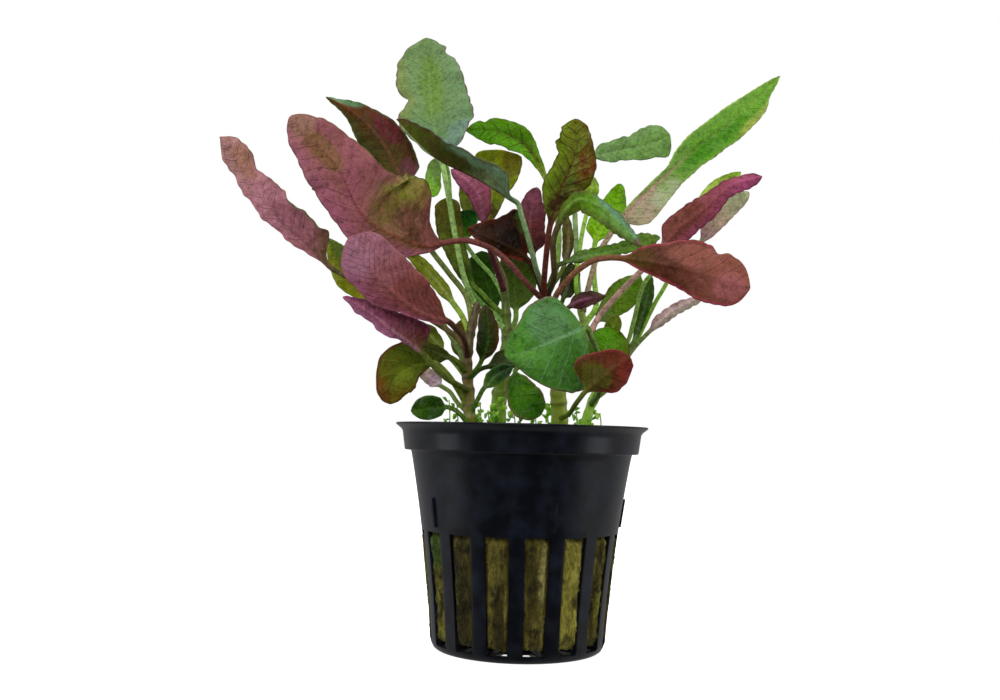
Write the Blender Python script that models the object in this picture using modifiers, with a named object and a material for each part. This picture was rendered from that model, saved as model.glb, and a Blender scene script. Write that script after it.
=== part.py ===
"""Potted cardinal flower: a young Lobelia in a black plastic net pot with a plug of rock wool.

Units are metres with +Z up. The origin is the middle of the pot's flat underside, and the
front of the plant faces -Y. Sizes are written in millimetres and turned into metres by MM.

Stalks and leaves are laid out as they are seen from the eye point in front of the pot. A place
is (across, down, depth): across and down are on the photograph's grid of 1000 x 700, and depth
is millimetres behind the pot's axis, so a negative depth is nearer the eye.
"""

import math

import bmesh
import bpy
from mathutils import Matrix, Vector
from mathutils.geometry import interpolate_bezier

MM = 0.001
GAP = 0.3                      # clearance between pieces that touch

# Net pot
LIP_RADIUS = 27.5
LIP_TOP = 47.8
COLLAR_TOP_RADIUS = 25.9
COLLAR_FOOT_RADIUS = 25.5
COLLAR_FOOT = 41.9
BASE_RADIUS = 17.2             # flat of the underside
BASE_THICKNESS = 1.0
WALL = 0.9
RIBS = 16
RIB_TURN = -2.5                # degrees from straight ahead to the nearest rib
SLOT_TOP = 25.1
SLOT_FOOT = 1.5
SLOT_TOP_WIDTH = 5.2
SLOT_FOOT_WIDTH = 4.2
BASE_SLOT_INNER = 8.5
BASE_SLOT_OUTER = 16.6
LUG_TURNS = (-56.0, 16.0, 88.0, 160.0, 232.0)
LUG_WIDTH = 1.5
LUG_PROUD = 0.45
LUG_FOOT = 26.2
LUG_TOP = 32.2

# Rock wool plug
WOOL_FOOT = 2.7
WOOL_TOP = 44.8
ROUND_STEPS = 32               # faces round the pot and the plug

# Eye point for the plant's layout
EYE = Vector((-5.2, -230.0, 44.5))
EYE_PITCH = 4.9                # degrees above level
EYE_ROLL = 1.36                # degrees
EYE_FOCAL = 1045.0             # in steps of the photograph's grid
GRID_MIDDLE = (500.0, 350.0)

# Leaves
LEAF_THICKNESS = 0.55
MARGIN_SHARE = 0.45            # of the leaf's thickness, half way to the margin
KEEL = 0.25                    # how far the midrib stands out under the blade's base
STALK_RADIUS = 0.62
THIN_STALK_RADIUS = 0.5        # for the small leaves
BLADE_FOOT = 0.2               # share of the blade over which the stalk's round section flattens
LONG_BLADE = 24.0              # a blade this long has more rings
LONG_STALK = 12.0              # and so has a stalk this long
BLADE_RINGS = (6, 10)          # on a short one, on a long one
STALK_RINGS = (2, 4)
RING_SIDES = 8
STEM_SWELL = 1.08              # of the stem's radius, at each node
STEM_STEPS = 12

# Each stem: route from the wool to its tip, with the radius in mm at its foot and tip
STEMS = {
    "stem_left": {
        "route": [(470, 430, -5), (469, 400, -5), (467, 370, -5), (468, 350, -5), (472, 326, -4),
                  (478, 302, -3)],
        "foot_radius": 1.35, "tip_radius": 0.85, "colour": (0.20, 0.11, 0.06)},
    "stem_middle": {
        "route": [(561, 430, -3), (558, 395, -4), (553, 360, -5), (549, 330, -4), (547, 300, -3),
                  (546, 284, -3)],
        "foot_radius": 1.9, "tip_radius": 1.0, "colour": (0.28, 0.27, 0.05)},
    "stem_right": {
        "route": [(582, 430, 2), (590, 408, 2), (598, 388, 1), (596, 365, 1), (589, 340, 1),
                  (582, 315, 2), (580, 300, 2)],
        "foot_radius": 1.15, "tip_radius": 0.8, "colour": (0.20, 0.36, 0.04)},
    "stem_back": {
        "route": [(497, 430, 8), (499, 400, 8), (503, 370, 7), (507, 340, 7), (506, 310, 7), (504, 284, 7)],
        "foot_radius": 2.0, "tip_radius": 0.8, "colour": (0.18, 0.26, 0.05)},
}

# Each leaf: the stem it grows from and how far down the grid it leaves it, the route of its
# stalk, the route of its midrib from blade base to tip, and spans of (place along the midrib,
# left half-width, right half-width) in mm, left and right as walked from base to tip.
# "turn" is degrees about the midrib at base and tip, "fold" lifts the halves to the upper side,
# "curl" bends the margins, and "shows" is the side that faces the eye.
LEAVES = {
    "leaf_far_left": {
        "on": ("stem_left", 352),
        "stalk": [(450, 332, -3), (400, 302, -2), (352, 279, -3)],
        "midrib": [(329, 266, -4), (305, 240, -6), (283, 219, -8), (262, 195, -10), (243, 168, -11),
                   (220, 137, -12)],
        "spans": [(0, 0.8, 0.8), (0.08, 1.8, 3.8), (0.2, 3.4, 5.9), (0.34, 4.0, 5.3), (0.48, 4.2, 4.4),
                  (0.6, 3.9, 4.0), (0.7, 3.6, 3.3), (0.82, 3.5, 3.9), (0.93, 2.6, 3.0), (1, 0.6, 0.6)],
        "turn": (30, 30), "fold": 8, "curl": 8, "shows": "under", "colour": (0.30, 0.13, 0.18)},
    "leaf_behind_left": {
        "on": ("stem_left", 364),
        "stalk": [(459, 350, 0), (449, 333, 3), (438, 319, 5), (425, 312, 7)],
        "midrib": [(405, 304, 7), (380, 290, 7), (355, 270, 6), (340, 253, 6), (328, 238, 6)],
        "spans": [(0, 0.8, 0.8), (0.3, 4.0, 2.6), (0.55, 5.4, 3.2), (0.8, 3.6, 2.0), (1, 0.4, 0.4)],
        "turn": (0, 0), "fold": 10, "curl": 0, "shows": "under", "colour": (0.12, 0.25, 0.03)},
    "leaf_left_large": {
        "on": ("stem_middle", 306),
        "stalk": [(528, 285, -9), (510, 264, -11), (492, 249, -12), (470, 241, -13), (456, 241, -13)],
        "midrib": [(444, 243, -13), (430, 246, -13), (413, 243, -13), (395, 236, -13), (375, 226, -13),
                   (362, 215, -14), (352, 198, -15), (340, 172, -17), (322, 150, -18), (305, 133, -19),
                   (290, 117, -19)],
        "spans": [(0, 0.8, 0.8), (0.04, 1.0, 5.4), (0.1, 1.8, 10.4), (0.16, 3.2, 12.6), (0.24, 5.0, 13.6),
                  (0.4, 6.0, 13.2), (0.5, 6.2, 11.6), (0.63, 7.4, 7.8), (0.77, 6.2, 6.0),
                  (0.89, 4.4, 4.6), (1, 1.4, 1.8)],
        "turn": (8, 8), "fold": 6, "curl": 10, "shows": "under", "colour": (0.25, 0.12, 0.13)},
    "leaf_left_round": {
        "on": ("stem_left", 357),
        "stalk": [(464, 340, -11), (456, 329, -17)],
        "midrib": [(447, 321, -22), (430, 317, -24), (410, 306, -26), (385, 284, -27), (365, 262, -27),
                   (350, 237, -26)],
        "spans": [(0, 0.9, 0.9), (0.04, 0.9, 3.2), (0.13, 1.0, 5.2), (0.3, 1.9, 6.4), (0.55, 4.8, 6.8),
                  (0.77, 5.0, 6.4), (0.92, 3.4, 5.0), (1, 1.4, 2.6)],
        "turn": (-8, 8), "fold": 8, "curl": 8, "shows": "under", "colour": (0.20, 0.07, 0.10)},
    "leaf_left_folded": {
        "on": ("stem_left", 390),
        "stalk": [(458, 385, -12), (445, 377, -15), (430, 362, -17)],
        "midrib": [(422, 352, -18), (413, 345, -19), (400, 335, -20), (375, 315, -21), (355, 303, -21),
                   (343, 297, -21)],
        "spans": [(0, 0.8, 0.8), (0.06, 0.8, 3.6), (0.13, 1.0, 5.4), (0.28, 1.3, 4.8), (0.54, 2.6, 2.8),
                  (0.8, 2.2, 1.6), (1, 0.4, 0.4)],
        "turn": (30, 30), "fold": 8, "curl": 6, "shows": "under", "colour": (0.22, 0.06, 0.16)},
    "leaf_low_olive": {
        "on": ("stem_left", 406),
        "stalk": [(460, 393, -6), (448, 375, -9)],
        "midrib": [(434, 363, -11), (417, 365, -12), (402, 372, -13), (391, 386, -13), (391, 404, -12)],
        "spans": [(0, 0.8, 0.8), (0.25, 2.4, 5.6), (0.5, 4.4, 5.6), (0.75, 4.4, 3.3), (0.92, 2.6, 2.0),
                  (1, 0.8, 0.8)],
        "turn": (0, 0), "fold": 8, "curl": -6, "shows": "upper", "colour": (0.15, 0.18, 0.02)},
    "leaf_dark_folded": {
        "on": ("stem_left", 374),
        "stalk": [(458, 363, -8)],
        "midrib": [(451, 358, -8), (437, 352, -8), (420, 347, -8), (401, 344, -8)],
        "spans": [(0, 0.8, 0.8), (0.3, 3.0, 2.4), (0.6, 4.0, 2.4), (0.85, 2.8, 1.6), (1, 0.4, 0.4)],
        "turn": (40, 40), "fold": 8, "curl": 0, "shows": "upper", "colour": (0.05, 0.10, 0.02)},
    "leaf_mauve_low": {
        "on": ("stem_left", 414),
        "stalk": [(457, 402, -1), (450, 392, 4)],
        "midrib": [(441, 386, 6), (432, 379, 7), (421, 370, 8)],
        "spans": [(0, 0.6, 0.6), (0.4, 1.7, 1.9), (0.8, 1.6, 1.6), (1, 0.4, 0.4)],
        "turn": (0, 0), "fold": 6, "curl": 0, "shows": "under", "colour": (0.40, 0.24, 0.34)},
    "leaf_oval_low": {
        "on": ("stem_left", 424),
        "stalk": [(461, 415, -8), (455, 410, -9)],
        "midrib": [(447, 407, -10), (430, 408, -11), (411, 411, -12)],
        "spans": [(0, 0.5, 0.5), (0.2, 1.9, 2.1), (0.5, 2.5, 2.7), (0.8, 2.0, 2.1), (1, 0.5, 0.5)],
        "turn": (0, 0), "fold": 8, "curl": 0, "shows": "upper", "colour": (0.04, 0.12, 0.01)},
    "leaf_top": {
        "on": ("stem_back", 330),
        "stalk": [(480, 312, 4), (465, 280, 2), (456, 240, 1), (450, 205, 1), (446, 182, 1)],
        "midrib": [(443, 166, 2), (437, 140, 4), (432, 115, 6), (430, 85, 9), (428, 60, 11), (426, 38, 12)],
        "spans": [(0, 0.8, 0.8), (0.08, 3.0, 3.2), (0.15, 4.0, 5.8), (0.22, 5.4, 7.2), (0.36, 7.9, 9.7),
                  (0.5, 5.7, 9.0), (0.63, 7.9, 8.2), (0.8, 7.5, 6.7), (0.93, 4.2, 4.2), (1, 0.9, 0.9)],
        "turn": (0, 0), "fold": 8, "curl": -8, "shows": "upper", "colour": (0.17, 0.32, 0.12)},
    "leaf_long_dark": {
        "on": ("stem_middle", 288),
        "stalk": [(538, 273, -8), (533, 255, -10), (527, 233, -11), (521, 213, -11)],
        "midrib": [(517, 202, -11), (500, 192, -12), (480, 180, -13), (460, 170, -14), (440, 160, -14),
                   (420, 143, -14), (397, 119, -13)],
        "spans": [(0, 0.8, 0.8), (0.08, 3.0, 3.6), (0.16, 4.2, 5.4), (0.35, 5.6, 5.0), (0.6, 6.0, 5.4),
                  (0.8, 4.4, 4.2), (1, 0.4, 0.4)],
        "turn": (100, 100), "fold": 48, "curl": 0, "shows": "under", "colour": (0.10, 0.16, 0.06)},
    "leaf_red_brown": {
        "on": ("stem_left", 322),
        "stalk": [(466, 296, 1), (448, 272, 4), (428, 245, 6), (416, 215, 7)],
        "midrib": [(408, 192, 8), (398, 171, 8), (385, 146, 8), (365, 122, 8), (345, 108, 7), (326, 97, 6)],
        "spans": [(0, 0.9, 0.9), (0.07, 3.2, 3.6), (0.18, 4.6, 5.4), (0.42, 5.2, 5.8), (0.65, 3.8, 4.0),
                  (0.83, 1.4, 2.2), (1, 0.3, 0.3)],
        "turn": (0, 0), "fold": 10, "curl": 0, "shows": "under", "colour": (0.10, 0.06, 0.03)},
    "leaf_bright_veined": {
        "on": ("stem_middle", 300),
        "stalk": [(556, 270, 5), (559, 235, 9), (554, 200, 12)],
        "midrib": [(546, 179, 13), (535, 158, 14), (520, 141, 15), (498, 132, 15), (466, 130, 15)],
        "spans": [(0, 0.8, 0.8), (0.22, 1.2, 1.3), (0.36, 2.4, 2.4), (0.5, 3.4, 3.4), (0.73, 3.6, 3.2),
                  (0.9, 2.0, 2.2), (1, 0.4, 0.4)],
        "turn": (0, 0), "fold": 10, "curl": 0, "shows": "upper", "colour": (0.16, 0.34, 0.02)},
    "leaf_yellow_olive": {
        "on": ("stem_back", 296),
        "stalk": [(506, 283, 14), (499, 266, 17), (491, 248, 18)],
        "midrib": [(489, 224, 19), (489, 210, 20), (495, 185, 21), (499, 166, 21), (501, 150, 21)],
        "spans": [(0, 0.8, 0.8), (0.08, 3.4, 1.4), (0.2, 7.0, 2.4), (0.42, 8.4, 3.2), (0.66, 7.2, 5.0),
                  (0.9, 6.2, 5.6), (1, 4.6, 4.6)],
        "turn": (0, 0), "fold": 6, "curl": 0, "shows": "under", "colour": (0.24, 0.26, 0.01)},
    "leaf_magenta_narrow": {
        "on": ("stem_back", 292),
        "stalk": [(494, 262, 3), (487, 240, 0)],
        "midrib": [(484, 224, -1), (481, 205, -2), (473, 188, -2), (451, 170, -2)],
        "spans": [(0, 0.8, 0.8), (0.33, 1.9, 2.6), (0.62, 2.1, 4.0), (0.85, 1.4, 2.2), (1, 0.4, 0.4)],
        "turn": (0, 0), "fold": 8, "curl": 0, "shows": "under", "colour": (0.36, 0.08, 0.22)},
    "leaf_maroon_folded": {
        "on": ("stem_middle", 306),
        "stalk": [(539, 282, -3)],
        "midrib": [(528, 260, -4), (511, 248, -6), (491, 239, -6), (468, 228, -5)],
        "spans": [(0, 0.8, 0.8), (0.1, 1.2, 1.6), (0.24, 1.8, 5.2), (0.4, 2.2, 8.6), (0.55, 2.2, 7.4),
                  (0.8, 1.6, 3.2), (1, 0.6, 0.6)],
        "turn": (0, 0), "fold": 0, "curl": 6, "shows": "under", "colour": (0.10, 0.02, 0.03)},
    "leaf_magenta_centre": {
        "on": ("stem_middle", 292),
        "stalk": [(537, 272, 1)],
        "midrib": [(533, 256, 2), (530, 235, 3), (531, 212, 4), (538, 188, 4)],
        "spans": [(0, 0.8, 0.8), (0.14, 3.6, 3.0), (0.3, 4.4, 3.5), (0.63, 3.3, 3.4), (0.88, 2.2, 1.8),
                  (1, 0.8, 0.8)],
        "turn": (0, 0), "fold": 6, "curl": 6, "shows": "under", "colour": (0.22, 0.04, 0.09)},
    "leaf_upright_veined": {
        "on": ("stem_middle", 318),
        "stalk": [(544, 288, -10), (547, 248, -12)],
        "midrib": [(550, 226, -12), (556, 205, -12), (562, 187, -12), (571, 166, -12), (577, 146, -12),
                   (576, 119, -11)],
        "spans": [(0, 0.9, 0.9), (0.19, 3.0, 1.8), (0.36, 4.2, 4.0), (0.5, 3.7, 5.4), (0.6, 3.7, 5.3),
                  (0.76, 4.8, 3.4), (0.92, 3.2, 2.4), (1, 0.8, 0.8)],
        "turn": (0, 0), "fold": 6, "curl": 0, "shows": "upper", "colour": (0.10, 0.14, 0.02)},
    "leaf_grey_green": {
        "on": ("stem_right", 334),
        "stalk": [(582, 312, 8), (578, 285, 9), (576, 240, 12), (575, 200, 15), (580, 170, 16)],
        "midrib": [(591, 157, 16), (607, 153, 17), (627, 149, 18), (647, 145, 19), (670, 135, 19)],
        "spans": [(0, 0.8, 0.8), (0.1, 2.4, 1.8), (0.25, 2.6, 2.7), (0.5, 3.3, 3.2), (0.72, 4.3, 3.6),
                  (0.86, 4.2, 4.7), (0.94, 3.0, 3.2), (1, 1.4, 1.2)],
        "turn": (0, 0), "fold": 8, "curl": -6, "shows": "upper", "colour": (0.14, 0.28, 0.10)},
    "leaf_bright_upper": {
        "on": ("stem_right", 322),
        "stalk": [(596, 306, 5), (594, 275, 13)],
        "midrib": [(595, 243, 20), (601, 227, 21), (611, 207, 22), (621, 184, 22)],
        "spans": [(0, 0.8, 0.8), (0.14, 3.4, 2.4), (0.35, 3.4, 3.4), (0.6, 2.8, 4.0), (0.85, 1.8, 2.3),
                  (1, 0.7, 0.7)],
        "turn": (0, 0), "fold": 6, "curl": 0, "shows": "upper", "colour": (0.18, 0.40, 0.01)},
    "leaf_bright_small": {
        "on": ("stem_right", 305),
        "stalk": [(576, 284, -1), (581, 240, 4), (587, 212, 8)],
        "midrib": [(590, 200, 9), (592, 189, 9), (594, 177, 9)],
        "spans": [(0, 0.7, 0.7), (0.35, 1.9, 1.7), (0.7, 1.7, 1.4), (1, 0.4, 0.4)],
        "turn": (0, 0), "fold": 6, "curl": 0, "shows": "upper", "colour": (0.18, 0.38, 0.01)},
    "leaf_folded_right": {
        "on": ("stem_middle", 300),
        "stalk": [(554, 278, -14), (553, 245, -18)],
        "midrib": [(558, 226, -18), (567, 209, -19), (580, 200, -19), (596, 205, -20), (612, 217, -20),
                   (628, 232, -20), (642, 247, -19)],
        "spans": [(0, 0.8, 0.8), (0.2, 1.5, 1.8), (0.38, 2.0, 2.6), (0.52, 1.6, 2.6), (0.7, 1.5, 2.3),
                  (0.85, 1.2, 1.6), (1, 0.3, 0.3)],
        "turn": (0, 0), "fold": 6, "curl": 0, "shows": "under", "colour": (0.12, 0.13, 0.03)},
    "leaf_long_right": {
        "on": ("stem_right", 314),
        "stalk": [(588, 289, 1), (597, 257, 4), (608, 238, 6)],
        "midrib": [(619, 223, 7), (645, 195, 9), (671, 171, 11), (700, 145, 13), (730, 122, 15),
                   (757, 98, 16), (780, 76, 17)],
        "spans": [(0, 0.9, 0.9), (0.04, 1.1, 3.8), (0.09, 1.2, 5.4), (0.16, 1.2, 5.3), (0.32, 1.4, 4.2),
                  (0.42, 3.0, 4.1), (0.5, 3.5, 4.5), (0.68, 3.5, 4.6), (0.83, 2.4, 3.9), (0.9, 1.7, 1.9),
                  (0.96, 0.9, 1.0), (1, 0.3, 0.3)],
        "turn": (0, 0), "fold": 6, "curl": 4, "shows": "upper", "colour": (0.10, 0.35, 0.04)},
    "leaf_purple_right": {
        "on": ("stem_middle", 352),
        "stalk": [(568, 354, -12), (583, 343, -14), (601, 314, -12), (621, 291, -10), (643, 269, -8)],
        "midrib": [(660, 250, -7), (680, 228, -8), (705, 209, -9), (730, 187, -10), (762, 177, -10)],
        "spans": [(0, 0.9, 0.9), (0.2, 3.4, 3.2), (0.45, 3.0, 2.8), (0.7, 1.9, 1.9), (0.88, 1.8, 1.8),
                  (1, 0.6, 0.6)],
        "turn": (0, 0), "fold": 8, "curl": 6, "shows": "under", "colour": (0.22, 0.05, 0.10)},
    "leaf_pale_right": {
        "on": ("stem_right", 372),
        "stalk": [(612, 357, 4), (627, 343, 4), (634, 320, 3), (645, 282, 2), (670, 262, 2)],
        "midrib": [(700, 243, 0), (715, 226, -1), (730, 210, -1), (749, 192, -2)],
        "spans": [(0, 0.7, 0.7), (0.2, 2.2, 1.3), (0.55, 2.6, 1.6), (0.85, 2.0, 1.4), (1, 0.5, 0.5)],
        "turn": (0, 0), "fold": 6, "curl": 0, "shows": "upper", "colour": (0.26, 0.30, 0.18)},
    "leaf_sliver_right": {
        "on": ("stem_right", 386),
        "stalk": [(614, 370, 9), (634, 345, 10), (654, 305, 11), (668, 280, 11), (678, 250, 9)],
        "midrib": [(690, 225, 8), (703, 205, 7), (718, 189, 6), (741, 172, 5)],
        "spans": [(0, 0.7, 0.7), (0.3, 1.8, 1.8), (0.6, 2.2, 1.8), (0.85, 1.4, 1.4), (1, 0.3, 0.3)],
        "turn": (0, 0), "fold": 6, "curl": 0, "shows": "upper", "colour": (0.16, 0.36, 0.02)},
    "leaf_big_right": {
        "on": ("stem_middle", 324),
        "stalk": [(555, 298, -14), (565, 283, -17), (577, 271, -18), (592, 261, -19), (605, 258, -20)],
        "midrib": [(620, 258, -21), (650, 262, -24), (680, 268, -26), (710, 276, -28), (750, 288, -28)],
        "spans": [(0, 0.9, 0.9), (0.1, 2.2, 1.4), (0.23, 3.6, 2.4), (0.46, 6.0, 3.8), (0.7, 7.0, 5.2),
                  (0.87, 6.4, 4.8), (0.95, 4.4, 3.4), (1, 1.8, 1.6)],
        "turn": (-6, 6), "fold": 6, "curl": 10, "shows": "under", "colour": (0.22, 0.10, 0.07)},
    "leaf_thin_green": {
        "on": ("stem_middle", 288),
        "stalk": [(556, 268, -7)],
        "midrib": [(566, 262, -11), (580, 257, -13), (605, 252, -14), (630, 246, -14), (660, 237, -13)],
        "spans": [(0, 0.7, 0.7), (0.2, 1.3, 1.3), (0.55, 1.3, 1.3), (0.8, 2.0, 1.8), (1, 0.5, 0.5)],
        "turn": (0, 0), "fold": 10, "curl": 0, "shows": "upper", "colour": (0.04, 0.12, 0.03)},
    "leaf_green_right": {
        "on": ("stem_right", 342),
        "stalk": [(592, 333, 6)],
        "midrib": [(596, 322, 9), (608, 308, 12), (622, 295, 13), (641, 276, 14)],
        "spans": [(0, 0.8, 0.8), (0.3, 2.0, 2.8), (0.6, 3.4, 3.8), (0.85, 2.6, 3.2), (1, 0.8, 0.8)],
        "turn": (0, 0), "fold": 6, "curl": 0, "shows": "under", "colour": (0.12, 0.24, 0.02)},
    "leaf_thin_right": {
        "on": ("stem_right", 400),
        "stalk": [(610, 386, 4), (631, 352, 6)],
        "midrib": [(649, 332, 7), (665, 317, 7), (680, 307, 7), (704, 298, 6)],
        "spans": [(0, 0.5, 0.5), (0.25, 1.6, 1.2), (0.6, 1.3, 1.3), (0.85, 0.9, 0.9), (1, 0.3, 0.3)],
        "turn": (0, 0), "fold": 10, "curl": 0, "shows": "under", "colour": (0.25, 0.20, 0.16)},
    "leaf_front_round": {
        "on": ("stem_right", 404),
        "stalk": [(600, 392, -8), (602, 370, -12), (597, 350, -16), (591, 336, -21)],
        "midrib": [(585, 327, -24), (569, 334, -26), (550, 342, -27), (530, 350, -27), (505, 356, -26)],
        "spans": [(0, 1.0, 1.0), (0.06, 2.6, 2.4), (0.14, 5.4, 5.4), (0.22, 9.0, 7.9), (0.32, 11.2, 8.5),
                  (0.45, 11.0, 8.6), (0.6, 9.4, 7.7), (0.75, 6.0, 5.8), (0.9, 2.6, 3.8), (1, 0.9, 1.8)],
        "turn": (0, 0), "fold": 6, "curl": -10, "shows": "upper", "colour": (0.07, 0.26, 0.06)},
    "leaf_bright_round": {
        "on": ("stem_right", 396),
        "stalk": [(601, 386, -2)],
        "midrib": [(602, 376, -3), (604, 358, -3.5), (607, 342, -3.5), (608, 327, -3.5)],
        "spans": [(0, 0.8, 0.8), (0.3, 4.0, 5.2), (0.6, 4.6, 5.2), (0.85, 3.4, 3.6), (1, 1.4, 1.4)],
        "turn": (0, 0), "fold": 4, "curl": 0, "shows": "upper", "colour": (0.12, 0.36, 0.01)},
    "leaf_maroon_low": {
        "on": ("stem_middle", 420),
        "stalk": [(569, 414, -12), (575, 405, -19), (581, 397, -26)],
        "midrib": [(586, 391, -30), (598, 381, -32), (611, 371, -33), (630, 357, -33)],
        "spans": [(0, 0.7, 0.7), (0.06, 3.4, 1.1), (0.12, 5.1, 1.5), (0.3, 5.8, 2.9), (0.5, 5.1, 3.8),
                  (0.7, 4.0, 3.7), (0.88, 2.6, 2.6), (1, 1.1, 1.4)],
        "turn": (0, 0), "fold": 6, "curl": 6, "shows": "under", "colour": (0.14, 0.04, 0.02)},
    "leaf_olive_small": {
        "on": ("stem_right", 362),
        "stalk": [(603, 350, 3)],
        "midrib": [(607, 340, 4), (612, 328, 4), (618, 315, 4)],
        "spans": [(0, 0.6, 0.6), (0.4, 1.8, 2.0), (0.8, 1.4, 1.6), (1, 0.4, 0.4)],
        "turn": (0, 0), "fold": 6, "curl": 0, "shows": "under", "colour": (0.22, 0.22, 0.02)},
    "leaf_dark_centre": {
        "on": ("stem_left", 380),
        "stalk": [(475, 371, -8)],
        "midrib": [(481, 362, -9), (487, 345, -10), (488, 325, -10), (485, 305, -9)],
        "spans": [(0, 0.7, 0.7), (0.3, 2.6, 2.2), (0.65, 2.6, 2.4), (0.88, 1.6, 1.4), (1, 0.4, 0.4)],
        "turn": (-25, -25), "fold": 6, "curl": 0, "shows": "upper", "colour": (0.04, 0.09, 0.01)},
    "leaf_dark_left": {
        "on": ("stem_left", 384),
        "stalk": [(463, 370, 2)],
        "midrib": [(461, 358, 6), (459, 345, 7), (460, 332, 7), (461, 320, 7)],
        "spans": [(0, 0.6, 0.6), (0.4, 1.8, 1.8), (0.8, 1.4, 1.4), (1, 0.4, 0.4)],
        "turn": (0, 0), "fold": 6, "curl": 0, "shows": "upper", "colour": (0.05, 0.12, 0.01)},
    "leaf_low_front": {
        "on": ("stem_middle", 378),
        "stalk": [(540, 369, -10), (524, 366, -15)],
        "midrib": [(515, 371, -17), (518, 386, -18), (526, 400, -18), (541, 415, -17)],
        "spans": [(0, 0.7, 0.7), (0.15, 2.2, 2.0), (0.38, 3.2, 3.0), (0.64, 3.6, 3.8), (0.85, 2.8, 2.8),
                  (1, 1.2, 1.2)],
        "turn": (0, 0), "fold": 6, "curl": -6, "shows": "upper", "colour": (0.05, 0.15, 0.01)},
    "leaf_dark_low": {
        "on": ("stem_left", 377),
        "stalk": [(479, 370, -4)],
        "midrib": [(487, 367, -4), (502, 364, -5), (522, 361, -7)],
        "spans": [(0, 0.6, 0.6), (0.35, 1.3, 2.8), (0.75, 1.3, 3.2), (1, 0.5, 0.5)],
        "turn": (180, 180), "fold": 6, "curl": 0, "shows": "upper", "colour": (0.03, 0.09, 0.01)},
    "leaf_blue_low": {
        "on": ("stem_left", 412),
        "stalk": [(478, 399, -8)],
        "midrib": [(484, 388, -10), (496, 375, -12), (513, 366, -13)],
        "spans": [(0, 0.6, 0.6), (0.4, 1.6, 1.8), (0.75, 1.5, 1.6), (1, 0.4, 0.4)],
        "turn": (0, 0), "fold": 6, "curl": 0, "shows": "upper", "colour": (0.05, 0.20, 0.08)},
    "leaf_back_centre_left": {
        "on": ("stem_back", 338),
        "stalk": [(500, 322, 11)],
        "midrib": [(496, 311, 12), (490, 293, 12.5), (484, 273, 12.5), (481, 251, 12.5)],
        "spans": [(0, 0.8, 0.8), (0.1, 2.4, 1.6), (0.3, 4.2, 2.2), (0.62, 4.6, 2.5), (0.86, 3.4, 2.5),
                  (1, 1.0, 1.0)],
        "turn": (0, 0), "fold": 6, "curl": 0, "shows": "upper", "colour": (0.05, 0.20, 0.02)},
    "leaf_back_centre_right": {
        "on": ("stem_back", 334),
        "stalk": [(515, 322, 14)],
        "midrib": [(516, 311, 18), (515, 292, 21), (513, 272, 22), (511, 250, 22)],
        "spans": [(0, 0.8, 0.8), (0.1, 2.6, 2.8), (0.3, 4.2, 4.8), (0.62, 4.0, 5.6), (0.86, 2.8, 3.8),
                  (1, 0.9, 1.1)],
        "turn": (0, 0), "fold": 6, "curl": 0, "shows": "upper", "colour": (0.06, 0.20, 0.02)},
    "leaf_back_dark": {
        "on": ("stem_back", 316),
        "stalk": [(490, 302, 5), (481, 292, 5)],
        "midrib": [(474, 286, 5), (463, 268, 6), (454, 245, 7), (449, 222, 7), (447, 198, 7)],
        "spans": [(0, 0.7, 0.7), (0.15, 2.0, 1.8), (0.4, 2.4, 2.4), (0.65, 3.1, 3.0), (0.9, 3.0, 3.0),
                  (1, 1.4, 1.6)],
        "turn": (0, 0), "fold": 6, "curl": 0, "shows": "upper", "colour": (0.04, 0.12, 0.01)},
    "leaf_lime_left": {
        "on": ("stem_left", 334),
        "stalk": [(462, 316, -1)],
        "midrib": [(453, 303, 0), (440, 285, 1), (422, 265, 1), (403, 250, 0)],
        "spans": [(0, 0.8, 0.8), (0.3, 1.7, 1.5), (0.7, 1.6, 1.4), (1, 0.4, 0.4)],
        "turn": (0, 0), "fold": 10, "curl": 0, "shows": "upper", "colour": (0.20, 0.34, 0.02)},
    "leaf_back_small": {
        "on": ("stem_back", 294),
        "stalk": [(492, 276, 9.5), (474, 256, 10.6), (458, 230, 11.5), (451, 205, 11.5), (448, 172, 11)],
        "midrib": [(441, 157, 11), (436, 166, 11), (433, 180, 11), (433, 197, 11)],
        "spans": [(0, 0.7, 0.7), (0.3, 1.7, 1.8), (0.75, 1.9, 1.9), (1, 0.9, 0.9)],
        "turn": (0, 0), "fold": 6, "curl": 0, "shows": "upper", "colour": (0.10, 0.36, 0.10)},
    "leaf_green_heart": {
        "on": ("stem_back", 322),
        "stalk": [(482, 304, 9), (464, 280, 9), (463, 256, 9)],
        "midrib": [(466, 239, 9), (467, 226, 9), (465, 210, 9)],
        "spans": [(0, 0.8, 0.8), (0.3, 1.7, 1.8), (0.65, 2.9, 2.7), (0.9, 2.5, 2.4), (1, 1.1, 1.1)],
        "turn": (0, 0), "fold": 6, "curl": 0, "shows": "upper", "colour": (0.04, 0.20, 0.03)},
    "leaf_narrow_centre": {
        "on": ("stem_middle", 288),
        "stalk": [(559, 276, 0)],
        "midrib": [(565, 263, 1), (568, 247, 2), (568, 230, 2), (566, 213, 2)],
        "spans": [(0, 0.6, 0.6), (0.3, 1.3, 1.1), (0.7, 1.3, 1.2), (1, 0.4, 0.4)],
        "turn": (0, 0), "fold": 10, "curl": 0, "shows": "under", "colour": (0.16, 0.14, 0.04)},
    "leaf_dark_right": {
        "on": ("stem_middle", 312),
        "stalk": [(560, 305, 2)],
        "midrib": [(563, 299, 3), (567, 288, 4), (570, 276, 4), (572, 263, 4)],
        "spans": [(0, 0.7, 0.7), (0.3, 1.9, 2.0), (0.7, 2.0, 2.2), (1, 0.6, 0.6)],
        "turn": (0, 0), "fold": 6, "curl": 0, "shows": "under", "colour": (0.09, 0.10, 0.02)},
    "leaf_shade_right": {
        "on": ("stem_right", 378),
        "stalk": [(608, 366, 5.5), (624, 351, 7.5)],
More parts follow.
